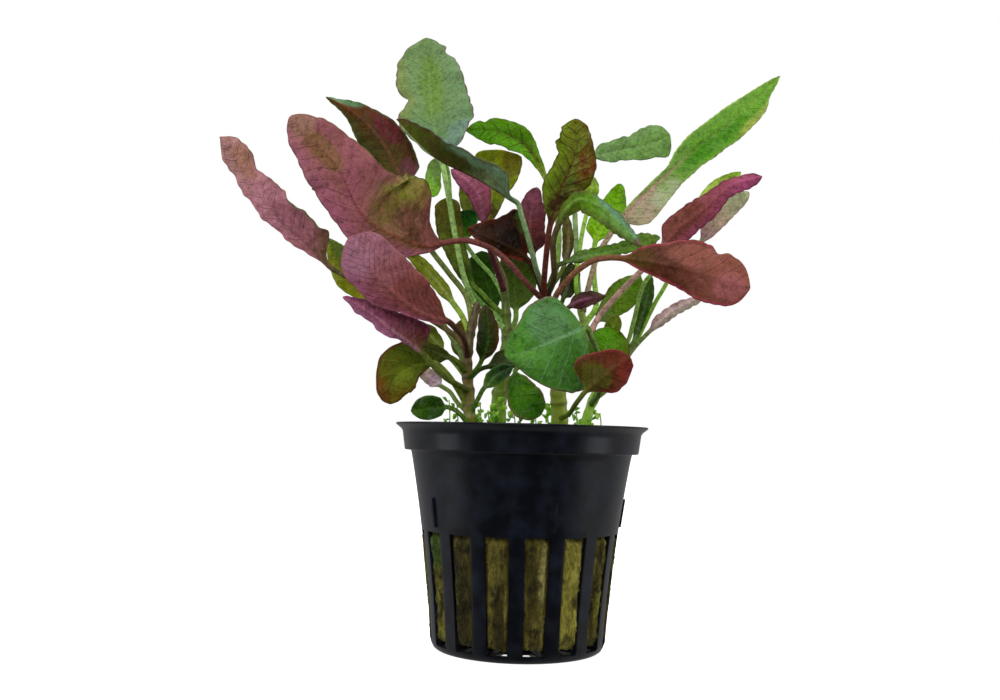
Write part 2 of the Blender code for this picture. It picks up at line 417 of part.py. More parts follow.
        "midrib": [(634, 341, 7), (641, 320, 7), (647, 299, 7), (651, 276, 7)],
        "spans": [(0, 0.6, 0.6), (0.3, 1.2, 1.0), (0.7, 1.6, 1.4), (1, 0.5, 0.5)],
        "turn": (0, 0), "fold": 10, "curl": 0, "shows": "upper", "colour": (0.06, 0.14, 0.02)},
    "leaf_lime_low": {
        "on": ("stem_left", 378),
        "stalk": [(457, 366, 0), (449, 357, 1)],
        "midrib": [(443, 351, 1), (436, 342, 1), (429, 333, 1), (423, 324, 1)],
        "spans": [(0, 0.6, 0.6), (0.3, 1.8, 1.6), (0.7, 2.0, 1.8), (1, 0.5, 0.5)],
        "turn": (0, 0), "fold": 6, "curl": 0, "shows": "under", "colour": (0.18, 0.24, 0.02)},
    "leaf_purple_small": {
        "on": ("stem_middle", 330),
        "stalk": [(560, 316, -6)],
        "midrib": [(569, 307, -6), (580, 301, -6), (592, 298, -6), (606, 296, -5)],
        "spans": [(0, 0.6, 0.6), (0.3, 1.7, 1.7), (0.7, 1.4, 1.4), (1, 0.3, 0.3)],
        "turn": (0, 0), "fold": 6, "curl": 0, "shows": "under", "colour": (0.14, 0.03, 0.06)},
}


def clear_scene():
    for old in list(bpy.data.objects):
        bpy.data.objects.remove(old, do_unlink=True)


def new_collection(name):
    made = bpy.data.collections.new(name)
    bpy.context.scene.collection.children.link(made)
    return made


def new_material(name, colour, roughness):
    made = bpy.data.materials.new(name)
    made.use_nodes = True
    shader = made.node_tree.nodes["Principled BSDF"]
    shader.inputs["Base Color"].default_value = (*colour, 1.0)
    shader.inputs["Roughness"].default_value = roughness
    shader.inputs["Metallic"].default_value = 0.0
    return made


def add_object(name, data, collection, material=None):
    made = bpy.data.objects.new(name, data)
    collection.objects.link(made)
    if material:
        data.materials.append(material)
    return made


def turned(name, profile, steps, collection, material):
    """A closed turned piece from (radius, height) pairs in mm that start and end on the axis."""
    mesh = bpy.data.meshes.new(name)
    points = [(radius * MM, 0.0, height * MM) for radius, height in profile]
    edges = [(i, i + 1) for i in range(len(points) - 1)]
    mesh.from_pydata(points, edges, [])
    made = add_object(name, mesh, collection, material)
    screw = made.modifiers.new("Turn", "SCREW")
    screw.axis = "Z"
    screw.steps = steps
    screw.render_steps = steps
    screw.use_merge_vertices = True
    screw.merge_threshold = 0.00002
    screw.use_smooth_shade = False
    return made


def body_radius(height):
    """Outer radius of the pot's tapered wall, which opens a little faster towards the collar."""
    return 18.7 + 0.065 * height + 0.0015 * height * height


def pot_profile():
    levels = (35.0, 28.0, 19.0, 8.0)
    inner = [(0.0, BASE_THICKNESS), (BASE_RADIUS - 0.4, BASE_THICKNESS), (body_radius(2.4) - WALL, 2.4)]
    inner += [(body_radius(z) - WALL, z) for z in reversed(levels)]
    inner += [(body_radius(41.3) - WALL, 41.3), (COLLAR_FOOT_RADIUS - WALL, COLLAR_FOOT + 1.0),
              (COLLAR_TOP_RADIUS - WALL, LIP_TOP - 1.9), (COLLAR_TOP_RADIUS + 0.2, LIP_TOP - 0.5)]
    lip = [(LIP_RADIUS - 0.2, LIP_TOP), (LIP_RADIUS, LIP_TOP - 0.3), (LIP_RADIUS - 0.3, LIP_TOP - 0.8),
           (COLLAR_TOP_RADIUS + 0.4, LIP_TOP - 1.5), (COLLAR_TOP_RADIUS, LIP_TOP - 2.4)]
    outer = [(COLLAR_FOOT_RADIUS, COLLAR_FOOT + 0.3), (COLLAR_FOOT_RADIUS - 0.3, COLLAR_FOOT),
             (body_radius(COLLAR_FOOT) + 0.05, COLLAR_FOOT - 0.1)]
    outer += [(body_radius(z), z) for z in levels]
    outer += [(body_radius(2.0), 2.0), (BASE_RADIUS + 0.9, 0.5), (BASE_RADIUS, 0.0), (0.0, 0.0)]
    return inner + lip + outer


def tapered_cutter(name, corners, turns, collection):
    """Copies of one block around the axis. The block has (radius, half-width, height) corners:
    inner foot, outer foot, outer top, inner top."""
    mesh = bpy.data.meshes.new(name)
    shape = bmesh.new()
    for turn in turns:
        spin = Matrix.Rotation(math.radians(turn), 4, "Z")
        block = bmesh.ops.create_cube(shape, size=2.0)["verts"]
        for vert in block:
            outer = vert.co.y < 0
            top = vert.co.z > 0
            radius, half, height = corners[(2 if top else 1) if outer else (3 if top else 0)]
            side = 1.0 if vert.co.x > 0 else -1.0
            vert.co = spin @ Vector((side * half, -radius, height)) * MM
    bmesh.ops.recalc_face_normals(shape, faces=shape.faces)
    shape.to_mesh(mesh)
    shape.free()
    made = add_object(name, mesh, collection)
    made.hide_render = True
    made.display_type = "WIRE"
    return made


def boolean(target, cutter, operation):
    step = target.modifiers.new(cutter.name, "BOOLEAN")
    step.object = cutter
    step.operation = operation
    step.solver = "EXACT"


def make_pot(parts, cutters):
    plastic = new_material("black_moulded_plastic", (0.010, 0.011, 0.015), 0.35)
    pot = turned("net_pot", pot_profile(), ROUND_STEPS, parts, plastic)
    slot_turns = [RIB_TURN + 360.0 / RIBS * (i + 0.5) for i in range(RIBS)]
    top = SLOT_TOP_WIDTH / 2
    foot = SLOT_FOOT_WIDTH / 2
    wall_corners = [(17.0, foot, SLOT_FOOT), (26.0, foot, SLOT_FOOT),
                    (26.0, top, SLOT_TOP), (17.0, top, SLOT_TOP)]
    wall_slots = tapered_cutter("wall_slots", wall_corners, slot_turns, cutters)
    base_corners = [(BASE_SLOT_INNER, 0.9, -1.0), (BASE_SLOT_OUTER, 2.0, -1.0),
                    (BASE_SLOT_OUTER, 2.0, 1.8), (BASE_SLOT_INNER, 0.9, 1.8)]
    base_slots = tapered_cutter("base_slots", base_corners, slot_turns, cutters)
    lug = LUG_WIDTH / 2
    low = body_radius(LUG_FOOT)
    high = body_radius(LUG_TOP)
    lug_corners = [(low - 0.4, lug, LUG_FOOT), (low + LUG_PROUD, lug, LUG_FOOT),
                   (high + LUG_PROUD, lug, LUG_TOP), (high - 0.4, lug, LUG_TOP)]
    lugs = tapered_cutter("lugs", lug_corners, LUG_TURNS, cutters)
    boolean(pot, lugs, "UNION")
    boolean(pot, wall_slots, "DIFFERENCE")
    boolean(pot, base_slots, "DIFFERENCE")


def make_wool(parts):
    wool = new_material("rock_wool", (0.16, 0.14, 0.03), 0.95)
    clear = WALL + GAP + 0.1
    levels = (WOOL_FOOT + 0.8, 8.0, 19.0, 28.0, 35.0, 41.3)
    side = [(body_radius(z) - clear, z) for z in reversed(levels)]
    profile = [(0.0, WOOL_TOP), (22.2, WOOL_TOP), (22.8, WOOL_TOP - 0.8)]
    profile += side + [(body_radius(WOOL_FOOT) - clear - 0.8, WOOL_FOOT), (0.0, WOOL_FOOT)]
    turned("wool_plug", profile, ROUND_STEPS, parts, wool)


def eye_turn():
    """Turns a direction seen by the eye (right, up, back) into the pot's own axes."""
    level = Matrix(((1, 0, 0), (0, 0, -1), (0, 1, 0)))
    pitch = Matrix.Rotation(math.radians(EYE_PITCH), 3, "X")
    roll = Matrix.Rotation(math.radians(EYE_ROLL), 3, "Z")
    return level @ pitch @ roll


def place(across, down, depth):
    """The point in mm that is seen at (across, down) and lies depth behind the pot's axis."""
    sight = eye_turn() @ Vector((across - GRID_MIDDLE[0], GRID_MIDDLE[1] - down, -EYE_FOCAL))
    return EYE + sight * ((depth - EYE.y) / sight.y)


def smooth_route(points, steps):
    """Points evenly placed along a smooth curve through the given ones."""
    ends = [points[0] * 2 - points[1]] + list(points) + [points[-1] * 2 - points[-2]]
    fine = []
    for before, start, end, after in zip(ends, ends[1:], ends[2:], ends[3:]):
        out = (end - before) / 6
        back = (after - start) / 6
        fine += interpolate_bezier(start, start + out, end - back, end, 12)[:-1]
    fine.append(points[-1])
    reach = [0.0]
    for a, b in zip(fine, fine[1:]):
        reach.append(reach[-1] + (b - a).length)
    found = []
    for i in range(steps + 1):
        want = reach[-1] * i / steps
        j = max(k for k in range(len(reach)) if reach[k] <= want + 1e-9)
        j = min(j, len(fine) - 2)
        share = (want - reach[j]) / max(reach[j + 1] - reach[j], 1e-9)
        found.append(fine[j].lerp(fine[j + 1], share))
    return found


def stem_route(stem, steps):
    points = [place(*spot) for spot in stem["route"]]
    points[0].z = WOOL_TOP + GAP
    return smooth_route(points, steps)


def stem_radius(stem, share):
    return stem["foot_radius"] + (stem["tip_radius"] - stem["foot_radius"]) * share


def make_stem(name, stem, parts):
    """A tube along the stem's route, with a faint swelling where stalks leave it."""
    route = stem_route(stem, STEM_STEPS)
    curve = bpy.data.curves.new(name, "CURVE")
    curve.dimensions = "3D"
    curve.bevel_depth = 1.0 * MM
    curve.bevel_resolution = 1
    curve.use_fill_caps = True
    spline = curve.splines.new("POLY")
    spline.points.add(len(route) - 1)
    for i, (point, spot) in enumerate(zip(spline.points, route)):
        point.co = (*(spot * MM), 1.0)
        swell = STEM_SWELL if i % 3 == 2 else 1.0
        point.radius = stem_radius(stem, i / STEM_STEPS) * swell
    add_object(name, curve, parts, new_material(name + "_skin", stem["colour"], 0.5))


def join_point(leaf, stalk_radius, towards):
    """Where a stalk starts: beside its stem, clear of the stem's skin."""
    name, down = leaf["on"]
    stem = STEMS[name]
    route = stem_route(stem, STEM_STEPS * 2)
    target = place(stem["route"][0][0], down, stem["route"][0][2]).z
    near = min(range(len(route)), key=lambda i: abs(route[i].z - target))
    away = towards - route[near]
    away.z = 0.0
    away.normalize()
    reach = stem_radius(stem, near / (len(route) - 1)) * STEM_SWELL + stalk_radius + GAP
    return route[near] + away * reach


def half_widths(spans, share):
    for (a, left_a, right_a), (b, left_b, right_b) in zip(spans, spans[1:]):
        if share <= b:
            t = (share - a) / (b - a)
            ease = t * t * (3 - 2 * t)
            return left_a + (left_b - left_a) * ease, right_a + (right_b - right_a) * ease
    return spans[-1][1:]


def ring_points(centre, right, upper, left_width, right_width, fold, curl, thick, keel):
    """Eight points round a leaf's section: right margin, then over the upper side to the left
    margin and back under. Each half is two straight runs, the outer one bent by the curl."""
    def half(side, width):
        inner = right * (side * math.cos(fold)) + upper * math.sin(fold)
        outer = right * (side * math.cos(fold + curl)) + upper * math.sin(fold + curl)
        middle = centre + inner * (width / 2)
        lift = (upper * math.cos(fold) - right * (side * math.sin(fold))) * (thick * MARGIN_SHARE)
        return middle + lift, middle + outer * (width / 2), middle - lift
    right_top, right_edge, right_under = half(1.0, right_width)
    left_top, left_edge, left_under = half(-1.0, left_width)
    return [right_edge, right_top, centre + upper * (thick / 2), left_top,
            left_edge, left_under, centre - upper * (thick / 2 + keel), right_under]


def length_of(points):
    return sum((b - a).length for a, b in zip(points, points[1:]))


def leaf_rings(leaf):
    stalk_radius = STALK_RADIUS if leaf["spans"][0][1] > 0.75 else THIN_STALK_RADIUS
    midrib = [place(*spot) for spot in leaf["midrib"]]
    stalk = [place(*spot) for spot in leaf["stalk"]]
    start = join_point(leaf, stalk_radius, stalk[0])
    blade_rings = BLADE_RINGS[length_of(midrib) > LONG_BLADE]
    stalk_rings = STALK_RINGS[length_of([start] + stalk + midrib[:1]) > LONG_STALK]
    blade = smooth_route(midrib, blade_rings)
    lead = smooth_route([start] + stalk + midrib[:2], 40)
    cut = min(range(len(lead)), key=lambda i: (lead[i] - midrib[0]).length)
    lead = smooth_route(lead[:cut] + [midrib[0]], stalk_rings)
    route = lead[:-1] + blade
    sight = Vector((0, 1, 0))
    frames = []
    for i, point in enumerate(route):
        along = (route[min(i + 1, len(route) - 1)] - route[max(i - 1, 0)]).normalized()
        share = max(0.0, (i - stalk_rings) / blade_rings)
        flat = sight.cross(along).normalized()
        face = flat.cross(along).normalized()
        turn = math.radians(leaf["turn"][0] + (leaf["turn"][1] - leaf["turn"][0]) * share)
        right = flat * math.cos(turn) + face * math.sin(turn)
        frames.append([point, along, right])
    for i in range(stalk_rings - 1, -1, -1):
        carried = frames[i + 1][2]
        along = frames[i][1]
        frames[i][2] = (carried - along * carried.dot(along)).normalized()
    rings = []
    under = leaf["shows"] == "under"
    for i, (point, along, right) in enumerate(frames):
        shown = right.cross(along).normalized()
        upper = -shown if under else shown
        if i < stalk_rings:
            rings.append([point + (right * math.cos(a) + upper * math.sin(a)) * stalk_radius
                          for a in (math.tau * k / RING_SIDES for k in range(RING_SIDES))])
            continue
        share = (i - stalk_rings) / blade_rings
        left_width, right_width = half_widths(leaf["spans"], share)
        opened = min(1.0, share / BLADE_FOOT)
        fold = math.radians(leaf["fold"]) * opened
        curl = math.radians(leaf["curl"]) * opened
        thick = LEAF_THICKNESS + (stalk_radius * 2 - LEAF_THICKNESS) * (1.0 - opened)
        keel = KEEL * (1.0 - share)
        rings.append(ring_points(point, right, upper, left_width, right_width, fold, curl, thick, keel))
    return rings


def make_leaf(name, leaf, parts):
    """A leaf and its stalk as one loft, from a round stalk to a thin blade."""
    shape = bmesh.new()
    rings = [[shape.verts.new(point * MM) for point in ring] for ring in leaf_rings(leaf)]
    for lower, upper in zip(rings, rings[1:]):
        for i in range(RING_SIDES):
            j = (i + 1) % RING_SIDES
            shape.faces.new((lower[i], lower[j], upper[j], upper[i]))
    shape.faces.new(list(reversed(rings[0])))
    shape.faces.new(rings[-1])
    bmesh.ops.triangulate(shape, faces=shape.faces)
    bmesh.ops.recalc_face_normals(shape, faces=shape.faces)
    mesh = bpy.data.meshes.new(name)
    shape.to_mesh(mesh)
    shape.free()
    mesh.shade_smooth()
    add_object(name, mesh, parts, new_material(name + "_skin", leaf["colour"], 0.45))


def main():
    clear_scene()
    parts = new_collection("potted_cardinal_flower")
    cutters = new_collection("cutters")
    make_pot(parts, cutters)
    make_wool(parts)
    for name, stem in STEMS.items():
        make_stem(name, stem, parts)
    for name, leaf in LEAVES.items():
        make_leaf(name, leaf, parts)


main()
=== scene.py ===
import math
import random

import bmesh
import bpy
import numpy as np
from mathutils import Matrix, Vector, noise


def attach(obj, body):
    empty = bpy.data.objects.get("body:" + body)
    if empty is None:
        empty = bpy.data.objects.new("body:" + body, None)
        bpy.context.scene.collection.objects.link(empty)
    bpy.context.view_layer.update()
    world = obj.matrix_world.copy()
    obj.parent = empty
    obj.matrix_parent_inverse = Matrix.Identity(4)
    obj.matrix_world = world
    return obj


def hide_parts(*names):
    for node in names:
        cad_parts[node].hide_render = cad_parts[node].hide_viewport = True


# Potted cardinal flower: how it looks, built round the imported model.
# Lengths are millimetres until a mesh is made. Stalks, leaves and stems are laid out as the part's
# source lays them out: (across, down) on the photograph's grid and depth behind the pot's axis.

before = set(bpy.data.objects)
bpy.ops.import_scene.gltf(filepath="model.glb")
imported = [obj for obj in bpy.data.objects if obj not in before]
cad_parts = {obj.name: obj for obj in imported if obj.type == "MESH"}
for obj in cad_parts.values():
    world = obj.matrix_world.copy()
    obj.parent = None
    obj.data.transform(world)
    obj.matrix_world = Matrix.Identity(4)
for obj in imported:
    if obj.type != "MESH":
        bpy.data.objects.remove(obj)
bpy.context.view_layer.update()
mm = 0.001
print("frame loaded")

# Camera: at the photograph's viewing angle, level with the pot's rim
view = {
    "spot": (-5.2, -230.0, 44.5), "pitch": 4.9, "roll": 1.36, "focal": 1045.0,
    "middle": (500.0, 350.0), "sensor": 36.0, "width": 1000.0,
}


def eyeTurn():
    level = Matrix(((1, 0, 0), (0, 0, -1), (0, 1, 0)))
    pitch = Matrix.Rotation(math.radians(view["pitch"]), 3, "X")
    roll = Matrix.Rotation(math.radians(view["roll"]), 3, "Z")
    return level @ pitch @ roll


def place(across, down, depth):
    # the point in mm seen at (across, down) that lies depth behind the pot's axis
    sight = eyeTurn() @ Vector((across - view["middle"][0], view["middle"][1] - down, -view["focal"]))
    eye = Vector(view["spot"])
    return np.array(eye + sight * ((depth - eye.y) / sight.y))


def addCamera():
    lens = bpy.data.cameras.new("camera")
    lens.sensor_width = view["sensor"]
    lens.lens = view["focal"] * view["sensor"] / view["width"]
    lens.clip_start = 0.01
    camera = bpy.data.objects.new("camera", lens)
    bpy.context.scene.collection.objects.link(camera)
    camera.matrix_world = Matrix.Translation(Vector(view["spot"]) * mm) @ eyeTurn().to_4x4()
    bpy.context.scene.camera = camera


addCamera()
print("camera placed")


def linear(hexColour):
    # sRGB hex to the linear colour that the shaders take
    values = [int(hexColour[i:i + 2], 16) / 255 for i in (1, 3, 5)]
    return tuple(v / 12.92 if v <= 0.04045 else ((v + 0.055) / 1.055) ** 2.4 for v in values) + (1.0,)


def addNode(tree, kind, settings, links=None):
    # a string that isn't a property, or a number, names a socket; a link is a node or (node, output)
    made = tree.nodes.new("ShaderNode" + kind)
    for name, value in settings.items():
        if isinstance(name, str) and hasattr(made, name):
            setattr(made, name, value)
        else:
            made.inputs[name].default_value = value
    for name, source in (links or {}).items():
        if isinstance(source, tuple):
            socket = source[0].outputs[source[1]]
        else:
            socket = next(output for output in source.outputs if output.enabled)
        tree.links.new(socket, made.inputs[name])
    return made


def newMaterial(name, settings):
    # a Principled surface with its uniform values set on its own sockets
    made = bpy.data.materials.new(name)
    made.use_nodes = True
    shader = made.node_tree.nodes["Principled BSDF"]
    for socket, value in settings.items():
        shader.inputs[socket].default_value = value
    return made, made.node_tree, shader


def addPiece(name, points, faces, material, node=None):
    # points in mm; faces as lists of corners
    mesh = bpy.data.meshes.new(name)
    mesh.from_pydata((np.asarray(points) * mm).tolist(), [], faces)
    mesh.materials.append(material)
    mesh.shade_smooth()
    piece = bpy.data.objects.new(name, mesh)
    bpy.context.scene.collection.objects.link(piece)
    dress(piece, node)
    return piece


def dress(piece, node=None):
    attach(piece, "root")
    if node:
        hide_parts(node)


def addPlaces(mesh, name, values):
    # a vector for each vertex, for the materials to read
    layer = mesh.attributes.new(name, "FLOAT_VECTOR", "POINT")
    layer.data.foreach_set("vector", np.asarray(values, dtype=np.float32).ravel())


def ease(low, high, value):
    # 0 below low, 1 above high, smooth between
    share = np.clip((value - low) / (high - low), 0.0, 1.0)
    return share * share * (3 - 2 * share)


def smoothRoute(points, steps):
    # points evenly placed along a smooth curve through the given ones
    points = np.asarray(points, dtype=float)
    ends = np.vstack([2 * points[0] - points[1], points, 2 * points[-1] - points[-2]])
    t = np.linspace(0, 1, 24, endpoint=False)[:, None]
    fine = []
    for before, start, end, after in zip(ends, ends[1:], ends[2:], ends[3:]):
        out = start + (end - before) / 6
        back = end - (after - start) / 6
        fine.append((1 - t) ** 3 * start + 3 * (1 - t) ** 2 * t * out
                    + 3 * (1 - t) * t * t * back + t ** 3 * end)
    fine = np.vstack(fine + [points[-1:]])
    reach = np.concatenate([[0.0], np.cumsum(np.linalg.norm(np.diff(fine, axis=0), axis=1))])
    wanted = np.linspace(0, reach[-1], steps + 1)
    return np.stack([np.interp(wanted, reach, fine[:, axis]) for axis in range(3)], axis=1)


def routeLength(points):
    return float(np.linalg.norm(np.diff(np.asarray(points), axis=0), axis=1).sum())


def throughPoints(at, values, wanted):
    # a smooth curve through (at, value) pairs that doesn't overshoot them
    at = np.asarray(at, dtype=float)
    values = np.asarray(values, dtype=float)
    step = np.diff(at)
    slope = np.diff(values) / step
    tangent = np.zeros_like(values)
    same = slope[:-1] * slope[1:] > 0
    inner = np.where(same, 2 * slope[:-1] * slope[1:] / np.where(same, slope[:-1] + slope[1:], 1.0), 0.0)
    tangent[1:-1] = inner
    tangent[0] = slope[0]
    tangent[-1] = slope[-1]
    k = np.clip(np.searchsorted(at, wanted, side="right") - 1, 0, len(step) - 1)
    t = (wanted - at[k]) / step[k]
    return (values[k] * (1 + 2 * t) * (1 - t) ** 2 + values[k + 1] * t * t * (3 - 2 * t)
            + step[k] * (tangent[k] * t * (1 - t) ** 2 - tangent[k + 1] * t * t * (1 - t)))


def unit(vectors):
    return vectors / np.linalg.norm(vectors, axis=-1, keepdims=True)


def ringFaces(rings, sides):
    # quads between rings of points, with both ends closed
    faces = []
    for i in range(rings - 1):
        for j in range(sides):
            k = (j + 1) % sides
            faces.append((i * sides + j, i * sides + k, (i + 1) * sides + k, (i + 1) * sides + j))
    faces.append(tuple(reversed(range(sides))))
    faces.append(tuple((rings - 1) * sides + j for j in range(sides)))
    return faces


def tube(points, radii, sides):
    # rings round a route, carried along it without twisting
    points = np.asarray(points, dtype=float)
    along = unit(np.gradient(points, axis=0))
    side = unit(np.cross(along[0], (0.3, 1.0, 0.1)))
    turns = np.arange(sides) * math.tau / sides
    rings = []
    for spot, way, radius in zip(points, along, radii):
        side = unit(side - way * side.dot(way))
        other = np.cross(way, side)
        rings.append(spot + radius * (np.cos(turns)[:, None] * side + np.sin(turns)[:, None] * other))
    return np.vstack(rings), turns


# Net pot
pot = {
    "lipRadius": 27.5, "lipTop": 47.8, "collarTopRadius": 25.9, "collarFootRadius": 25.5, "collarFoot": 41.9,
    "bodyCurve": (18.7, 0.065, 0.0015),     # outer radius: at the foot, per mm up and per mm squared
    "baseRadius": 17.2, "baseThickness": 1.0, "wall": 0.9, "ribs": 16, "ribTurn": -2.5,
    "slotTop": 25.1, "slotFoot": 1.5, "slotTopWidth": 5.2, "slotFootWidth": 4.2,
    "baseSlotInner": 8.5, "baseSlotOuter": 16.6,
    "lugTurns": (-56.0, 16.0, 88.0, 160.0, 232.0), "lugWidth": 1.5, "lugProud": 0.45,
    "lugFoot": 26.2, "lugTop": 32.2, "steps": 192, "edge": 0.16,
    "plastic": "#090b13", "rubbed": "#151a27", "grime": "#15170f",
}


def bodyRadius(height):
    # outer radius of the tapered wall
    start, slope, flare = pot["bodyCurve"]
    return start + slope * height + flare * height * height


def mouldedPolypropylene():
    # Black injection-moulded polypropylene: nearly black face on, with a soft satin gloss that
    # turns blue-grey where the pot's sides mirror the light. The clouds in it are 4 mm wide; the mould's
    # texture is too fine to show and is drawn as a grain of 0.3 mm.
    made, tree, shader = newMaterial("mouldedPolypropylene", {
        "IOR": 1.49, "Specular IOR Level": 0.3, "Coat Weight": 0.12, "Coat Roughness": 0.16})
    spot = addNode(tree, "TexCoord", {})
    cloudy = addNode(tree, "TexNoise", {"Scale": 260.0, "Detail": 4.0}, {"Vector": (spot, "Object")})
    grain = addNode(tree, "TexNoise", {"Scale": 3200.0, "Detail": 2.0}, {"Vector": (spot, "Object")})
    height = addNode(tree, "SeparateXYZ", {}, {0: (spot, "Object")})
    low = addNode(tree, "MapRange", {"From Min": 0.012, "From Max": 0.0, "To Max": 0.55}, {0: (height, "Z")})
    patchy = addNode(tree, "MapRange", {"From Min": 0.42, "From Max": 0.72}, {0: cloudy})
    dirt = addNode(tree, "Math", {"operation": "MULTIPLY"}, {0: low, 1: patchy})
    face = addNode(tree, "Mix", {"data_type": "RGBA", 6: linear(pot["plastic"]), 7: linear(pot["rubbed"])},
                   {0: patchy})
    base = addNode(tree, "Mix", {"data_type": "RGBA", 7: linear(pot["grime"])}, {0: dirt, 6: face})
    gloss = addNode(tree, "MapRange", {"To Min": 0.27, "To Max": 0.42}, {0: cloudy})
    skin = addNode(tree, "Bump", {"Strength": 0.5, "Distance": 0.00002}, {"Height": grain})
    flow = addNode(tree, "Bump", {"Strength": 0.5, "Distance": 0.0001}, {"Height": cloudy, "Normal": skin})
    tree.links.new(base.outputs[2], shader.inputs["Base Color"])
    tree.links.new(gloss.outputs[0], shader.inputs["Roughness"])
    tree.links.new(flow.outputs[0], shader.inputs["Normal"])
    return made


def potProfile():
    # closed outline from the axis inside, over the lip and back to the axis under the base
    wall, base, floor = pot["wall"], pot["baseRadius"], pot["baseThickness"]
    lip, top = pot["lipRadius"], pot["lipTop"]
    collar, collarLow, seam = pot["collarTopRadius"], pot["collarFootRadius"], pot["collarFoot"]
    inner = [(0.0, floor), (base - 0.6, floor), (base - 0.2, floor + 0.25), (bodyRadius(2.4) - wall, 2.4)]
    inner += [(bodyRadius(z) - wall, z) for z in np.linspace(4, 40, 13)]
    inner += [(bodyRadius(41.3) - wall, 41.3), (collarLow - wall, seam + 1.0), (collar - wall, top - 2.2)]
    flare = [(collar - 0.55, top - 1.1), (collar + 0.1, top - 0.5), (lip - 0.45, top - 0.05),
             (lip - 0.2, top)]
    bead = [(lip + 0.16 * math.sin(a) - 0.16, top - 0.24 + 0.22 * math.cos(a))
            for a in np.linspace(0.35, 2.9, 7)]
    under = [(lip - 0.5, top - 0.75), (collar + 0.45, top - 1.25), (collar + 0.12, top - 1.8),
             (collar, top - 2.6)]
    step = [(collarLow + 0.02, seam + 0.6)]
    step += [(collarLow - 0.32 + 0.32 * math.cos(a), seam + 0.34 - 0.32 * math.sin(a))
             for a in np.linspace(0, math.pi / 2, 5)]
    step += [(bodyRadius(seam) + 0.12, seam - 0.02), (bodyRadius(seam), seam - 0.2)]
    outer = [(bodyRadius(z), z) for z in np.linspace(40.5, 3.2, 20)]
    foot = [(bodyRadius(2.0), 2.0), (base + 1.25, 1.0), (base + 0.95, 0.45), (base + 0.5, 0.12), (base, 0.0),
            (0.0, 0.0)]
    return inner + flare + bead + under + step + outer + foot


def blockCutter(name, corners, turns):
    # one tapered block repeated round the axis; corners are (radius, half-width, height)
    shape = bmesh.new()
    for turn in turns:
        spin = Matrix.Rotation(math.radians(turn), 4, "Z")
        for vert in bmesh.ops.create_cube(shape, size=2.0)["verts"]:
            outer = vert.co.y < 0
            top = vert.co.z > 0
            radius, half, height = corners[(2 if top else 1) if outer else (3 if top else 0)]
            side = 1.0 if vert.co.x > 0 else -1.0
            vert.co = spin @ Vector((side * half, -radius, height)) * mm
    bmesh.ops.recalc_face_normals(shape, faces=shape.faces)
    mesh = bpy.data.meshes.new(name)
    shape.to_mesh(mesh)
    shape.free()
    made = bpy.data.objects.new(name, mesh)
    bpy.context.scene.collection.objects.link(made)
    return made


def mouldPot():
    mesh = bpy.data.meshes.new("net_pot_moulded")
    profile = [(radius * mm, 0.0, height * mm) for radius, height in potProfile()]
    mesh.from_pydata(profile, [(i, i + 1) for i in range(len(profile) - 1)], [])
    blank = bpy.data.objects.new("net_pot_moulded", mesh)
    bpy.context.scene.collection.objects.link(blank)
    turned = blank.modifiers.new("turned", "SCREW")
    turned.steps = turned.render_steps = pot["steps"]
    turned.use_merge_vertices = True
    turned.merge_threshold = 0.00002
    slotTurns = [pot["ribTurn"] + 360.0 / pot["ribs"] * (i + 0.5) for i in range(pot["ribs"])]
    top = pot["slotTopWidth"] / 2
    foot = pot["slotFootWidth"] / 2
    wallCut = blockCutter("wallCut", [(17.0, foot, pot["slotFoot"]), (26.0, foot, pot["slotFoot"]),
                                      (26.0, top, pot["slotTop"]), (17.0, top, pot["slotTop"])], slotTurns)
    start, end = pot["baseSlotInner"], pot["baseSlotOuter"]
    baseCut = blockCutter("baseCut", [(start, 0.9, -1.0), (end, 2.0, -1.0), (end, 2.0, 1.8),
                                      (start, 0.9, 1.8)], slotTurns)
    low, high = bodyRadius(pot["lugFoot"]), bodyRadius(pot["lugTop"])
    half, proud = pot["lugWidth"] / 2, pot["lugProud"]
    lugs = blockCutter("lugs", [(low - 0.4, half, pot["lugFoot"]), (low + proud, half, pot["lugFoot"]),
                                (high + proud, half, pot["lugTop"]), (high - 0.4, half, pot["lugTop"])],
                       pot["lugTurns"])
    for tool, operation in ((lugs, "UNION"), (wallCut, "DIFFERENCE"), (baseCut, "DIFFERENCE")):
        step = blank.modifiers.new(tool.name, "BOOLEAN")
        step.object = tool
        step.operation = operation
    weld = blank.modifiers.new("weld", "WELD")
    weld.merge_threshold = 0.00001
    soften = blank.modifiers.new("soften", "BEVEL")
    soften.width = pot["edge"] * mm
    soften.segments = 2
    soften.limit_method = "ANGLE"
    soften.angle_limit = math.radians(50)
    soften.use_clamp_overlap = True
    finished = bpy.data.meshes.new_from_object(blank.evaluated_get(bpy.context.evaluated_depsgraph_get()))
    blank.modifiers.clear()
    blank.data = finished
    finished.materials.append(mouldedPolypropylene())
    finished.shade_smooth()
    finished.set_sharp_from_angle(angle=math.radians(38))
    for tool in (lugs, wallCut, baseCut):
        bpy.data.objects.remove(tool)
    dress(blank, "net_pot")


mouldPot()
print("net pot moulded")

